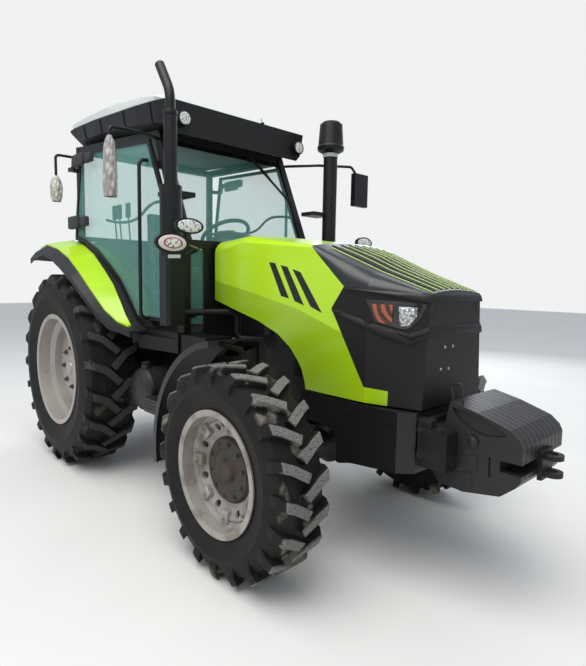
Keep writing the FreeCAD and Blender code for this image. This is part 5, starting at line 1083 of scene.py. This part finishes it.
for side, way in (("left", 1), ("right", -1)):
    for head, x, y, z, half_y, half_z, has_oval in LAMP_HEADS:
        y *= way
        dome((x, y, z), (HEAD_BULGE, half_y, half_z), (x, y, z), (-1, 0, 0), 40)
        oval = (y, z, half_y, half_z) if has_oval else None
        keep(f"{head}_lens_{side}", led_lens(f"{head}_{side}_glass", HEAD_CELLS, oval), "chassis")
    plate(outward(WHITE_PLATE, way), (PLATE_THICK, 0, 0))
    keep(f"lamp_plate_{side}", pale_cup, "chassis")
    start()
    bpy.ops.mesh.primitive_torus_add(major_radius=ROOF_RING_RADIUS, minor_radius=ROOF_RING_THICK, major_segments=40,
                                     minor_segments=8, location=(ROOF_RING_X, ROOF_LAMP_Y * way, ROOF_LAMP_Z),
                                     rotation=(0, math.pi / 2, 0))
    bpy.ops.object.shade_smooth()
    keep(f"roof_lamp_ring_{side}", stack, "chassis")
    middle = (ROOF_LENS_X, ROOF_LAMP_Y * way, ROOF_LAMP_Z)
    dome(middle, ROOF_LENS_HALVES, middle, (-1, 0, 0), 40)
    keep(f"roof_lamp_lens_{side}", led_lens(f"roof_lamp_{side}_glass", ROOF_CELLS), "chassis")

# Mirrors: a bare head on the left, with its silvered glass facing back.
# On the right the front mirror and a rear arm are still wrapped in crumpled packing film, tied at the neck.
MIRROR_SILVER = (0.75, 0.78, 0.78)
MIRROR_CORNERS = [(0.1975, 0.980, 2.205), (0.1995, 1.120, 2.445)]
WRAPS = [
    # Name, middle x and y, tint, then height, half x and half y of each ring from the neck down
    ("wrap_front", 0.050, -1.075, (0.56, 0.52, 0.50),
     [(2.398, 0.014, 0.014), (2.385, 0.020, 0.020), (2.366, 0.030, 0.032), (2.310, 0.040, 0.040), (2.240, 0.046, 0.043),
      (2.160, 0.049, 0.045), (2.090, 0.050, 0.046), (2.050, 0.043, 0.044), (2.036, 0.036, 0.040)]),
    ("wrap_rear", -1.490, -0.865, (0.68, 0.65, 0.55),
     [(2.398, 0.016, 0.016), (2.385, 0.030, 0.028), (2.350, 0.050, 0.047), (2.300, 0.057, 0.054), (2.250, 0.058, 0.055),
      (2.215, 0.050, 0.048), (2.182, 0.036, 0.036)]),
]
# Depth, number round the sleeve and turn from ring to ring of the fine and the broad folds
FOLDS = [(0.055, 9, 1.7), (0.04, 4, -2.3)]
WRAP_CORNERS, FILM_WALL = 56, 0.0008

mirror_glass = Finish("mirror_glass", Metallic=1.0, Base_Color=MIRROR_SILVER)
mirror_glass.set(Roughness=0.04 + mirror_glass.noise(20.0, 2.0) * 0.04)
block(*MIRROR_CORNERS, 0.0006, 2)
keep("mirror_glass_left", mirror_glass, "chassis")


def film_wrap(name, x, y, tint, rings):
    """A sleeve of packing film gathered at its neck and crumpled all over."""
    folded = []
    for number, (z, half_x, half_y) in enumerate(rings):
        corners = []
        for angle in [2 * math.pi * k / WRAP_CORNERS for k in range(WRAP_CORNERS)]:
            reach = 1 - sum(depth * (1 + math.sin(angle * count + number * turn)) for depth, count, turn in FOLDS)
            corners.append((x + half_x * reach * math.cos(angle), y + half_y * reach * math.sin(angle), z))
        folded.append(corners)
    bridged(folded)
    face_out()
    made = bpy.context.object
    finer = made.modifiers.new("finer", "SUBSURF")
    finer.levels = finer.render_levels = 2
    bpy.ops.object.modifier_apply(modifier="finer")
    wall = made.modifiers.new("wall", "SOLIDIFY")
    wall.thickness, wall.offset = FILM_WALL, -1.0
    bpy.ops.object.modifier_apply(modifier="wall")
    bpy.ops.object.shade_smooth()
    film = Finish(name + "_film", Roughness=0.35, Coat_Weight=0.4)
    crumple = film.cells(38.0, film.stretched(1.0, 1.0, 0.6))
    # The film is painted darker along its crumple creases, painted shade in the folds.
    film.set(Base_Color=film.mix(crumple.ramp(0.1, 0.7), tint, tuple(c * 0.55 for c in tint)),
             Alpha=0.88 + film.noise(20.0) * 0.1)
    film.bump(crumple + film.noise(60.0, 4.0) * 0.4, 0.012)
    keep(name, film, "chassis")
    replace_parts(made, "mirror_wraps")
    widest = max(half_x + half_y for _, half_x, half_y in rings)
    math.pi * widest * 1.02
    rings[0][0] - rings[-1][0] + 0.012


for row in WRAPS:
    film_wrap(*row)

# Fuel tank, battery box and steps: moulded black plastic held by steel straps, and welded steel steps.
# The treads are rough to the foot, and a moulded cap closes the tank.
TANK_BLACK, STEP_BLACK, TREAD_CELLS = (0.014, 0.0135, 0.0135), (0.016, 0.016, 0.016), 90.0
TANK_CAP_X, TANK_CAP_Y, TANK_CAP_RADIUS, TANK_CAP_HEIGHT = -0.22, -0.715, 0.031, 0.018

dress(moulding("tank_plastic", TANK_BLACK, 0.42, 0.2), "fuel_tank")
tread = moulding("step_steel", STEP_BLACK, 0.5, 0.1)
tread.bump(tread.cells(TREAD_CELLS), 0.003)
dress(tread, "steps")
foot = above("fuel_tank", TANK_CAP_X, TANK_CAP_Y)
rod(foot, foot + Vector((0, 0, TANK_CAP_HEIGHT)), TANK_CAP_RADIUS, 28)
soften(0.004, 3)
keep("tank_cap", rubber_black, "chassis")

# Tail lamps: a black moulded housing on the back of each fender, screwed on.
# A red and an orange lens show on its rear face.
RED, RED_SHADE, RED_CELLS = (0.42, 0.012, 0.010), (0.25, 0.008, 0.007), 120.0
TAIL_X, TAIL_Y = -1.765, 0.80
# Two corners of each, from the housing's place on the fender
HOUSING_CORNERS = [(-0.026, -0.085, -0.006), (0.026, 0.085, 0.070)]
TAIL_LENSES = {"red": [(-0.034, -0.075, 0.006), (-0.024, 0.010, 0.060)],
               "orange": [(-0.034, 0.016, 0.006), (-0.024, 0.075, 0.060)]}

red = Finish("red_lens", Roughness=0.12, Coat_Weight=0.7)
# The lens's facets are painted red in their middles and darker toward their edges, painted highlight and painted shade.
red.set(Base_Color=red.mix(red.cells(RED_CELLS), RED, RED_SHADE))
tail_finishes = {"red": red, "orange": orange}
for side, way in (("left", 1), ("right", -1)):
    foot = above("fenders", TAIL_X, TAIL_Y * way)
    block(*[foot + Vector(corner) for corner in HOUSING_CORNERS], 0.008)
    keep(f"tail_lamp_{side}", rubber_black, "chassis")
    for lens_name, corners in TAIL_LENSES.items():
        block(*[foot + Vector(corner) for corner in corners], 0.004)
        keep(f"tail_lens_{lens_name}_{side}", tail_finishes[lens_name], "chassis")
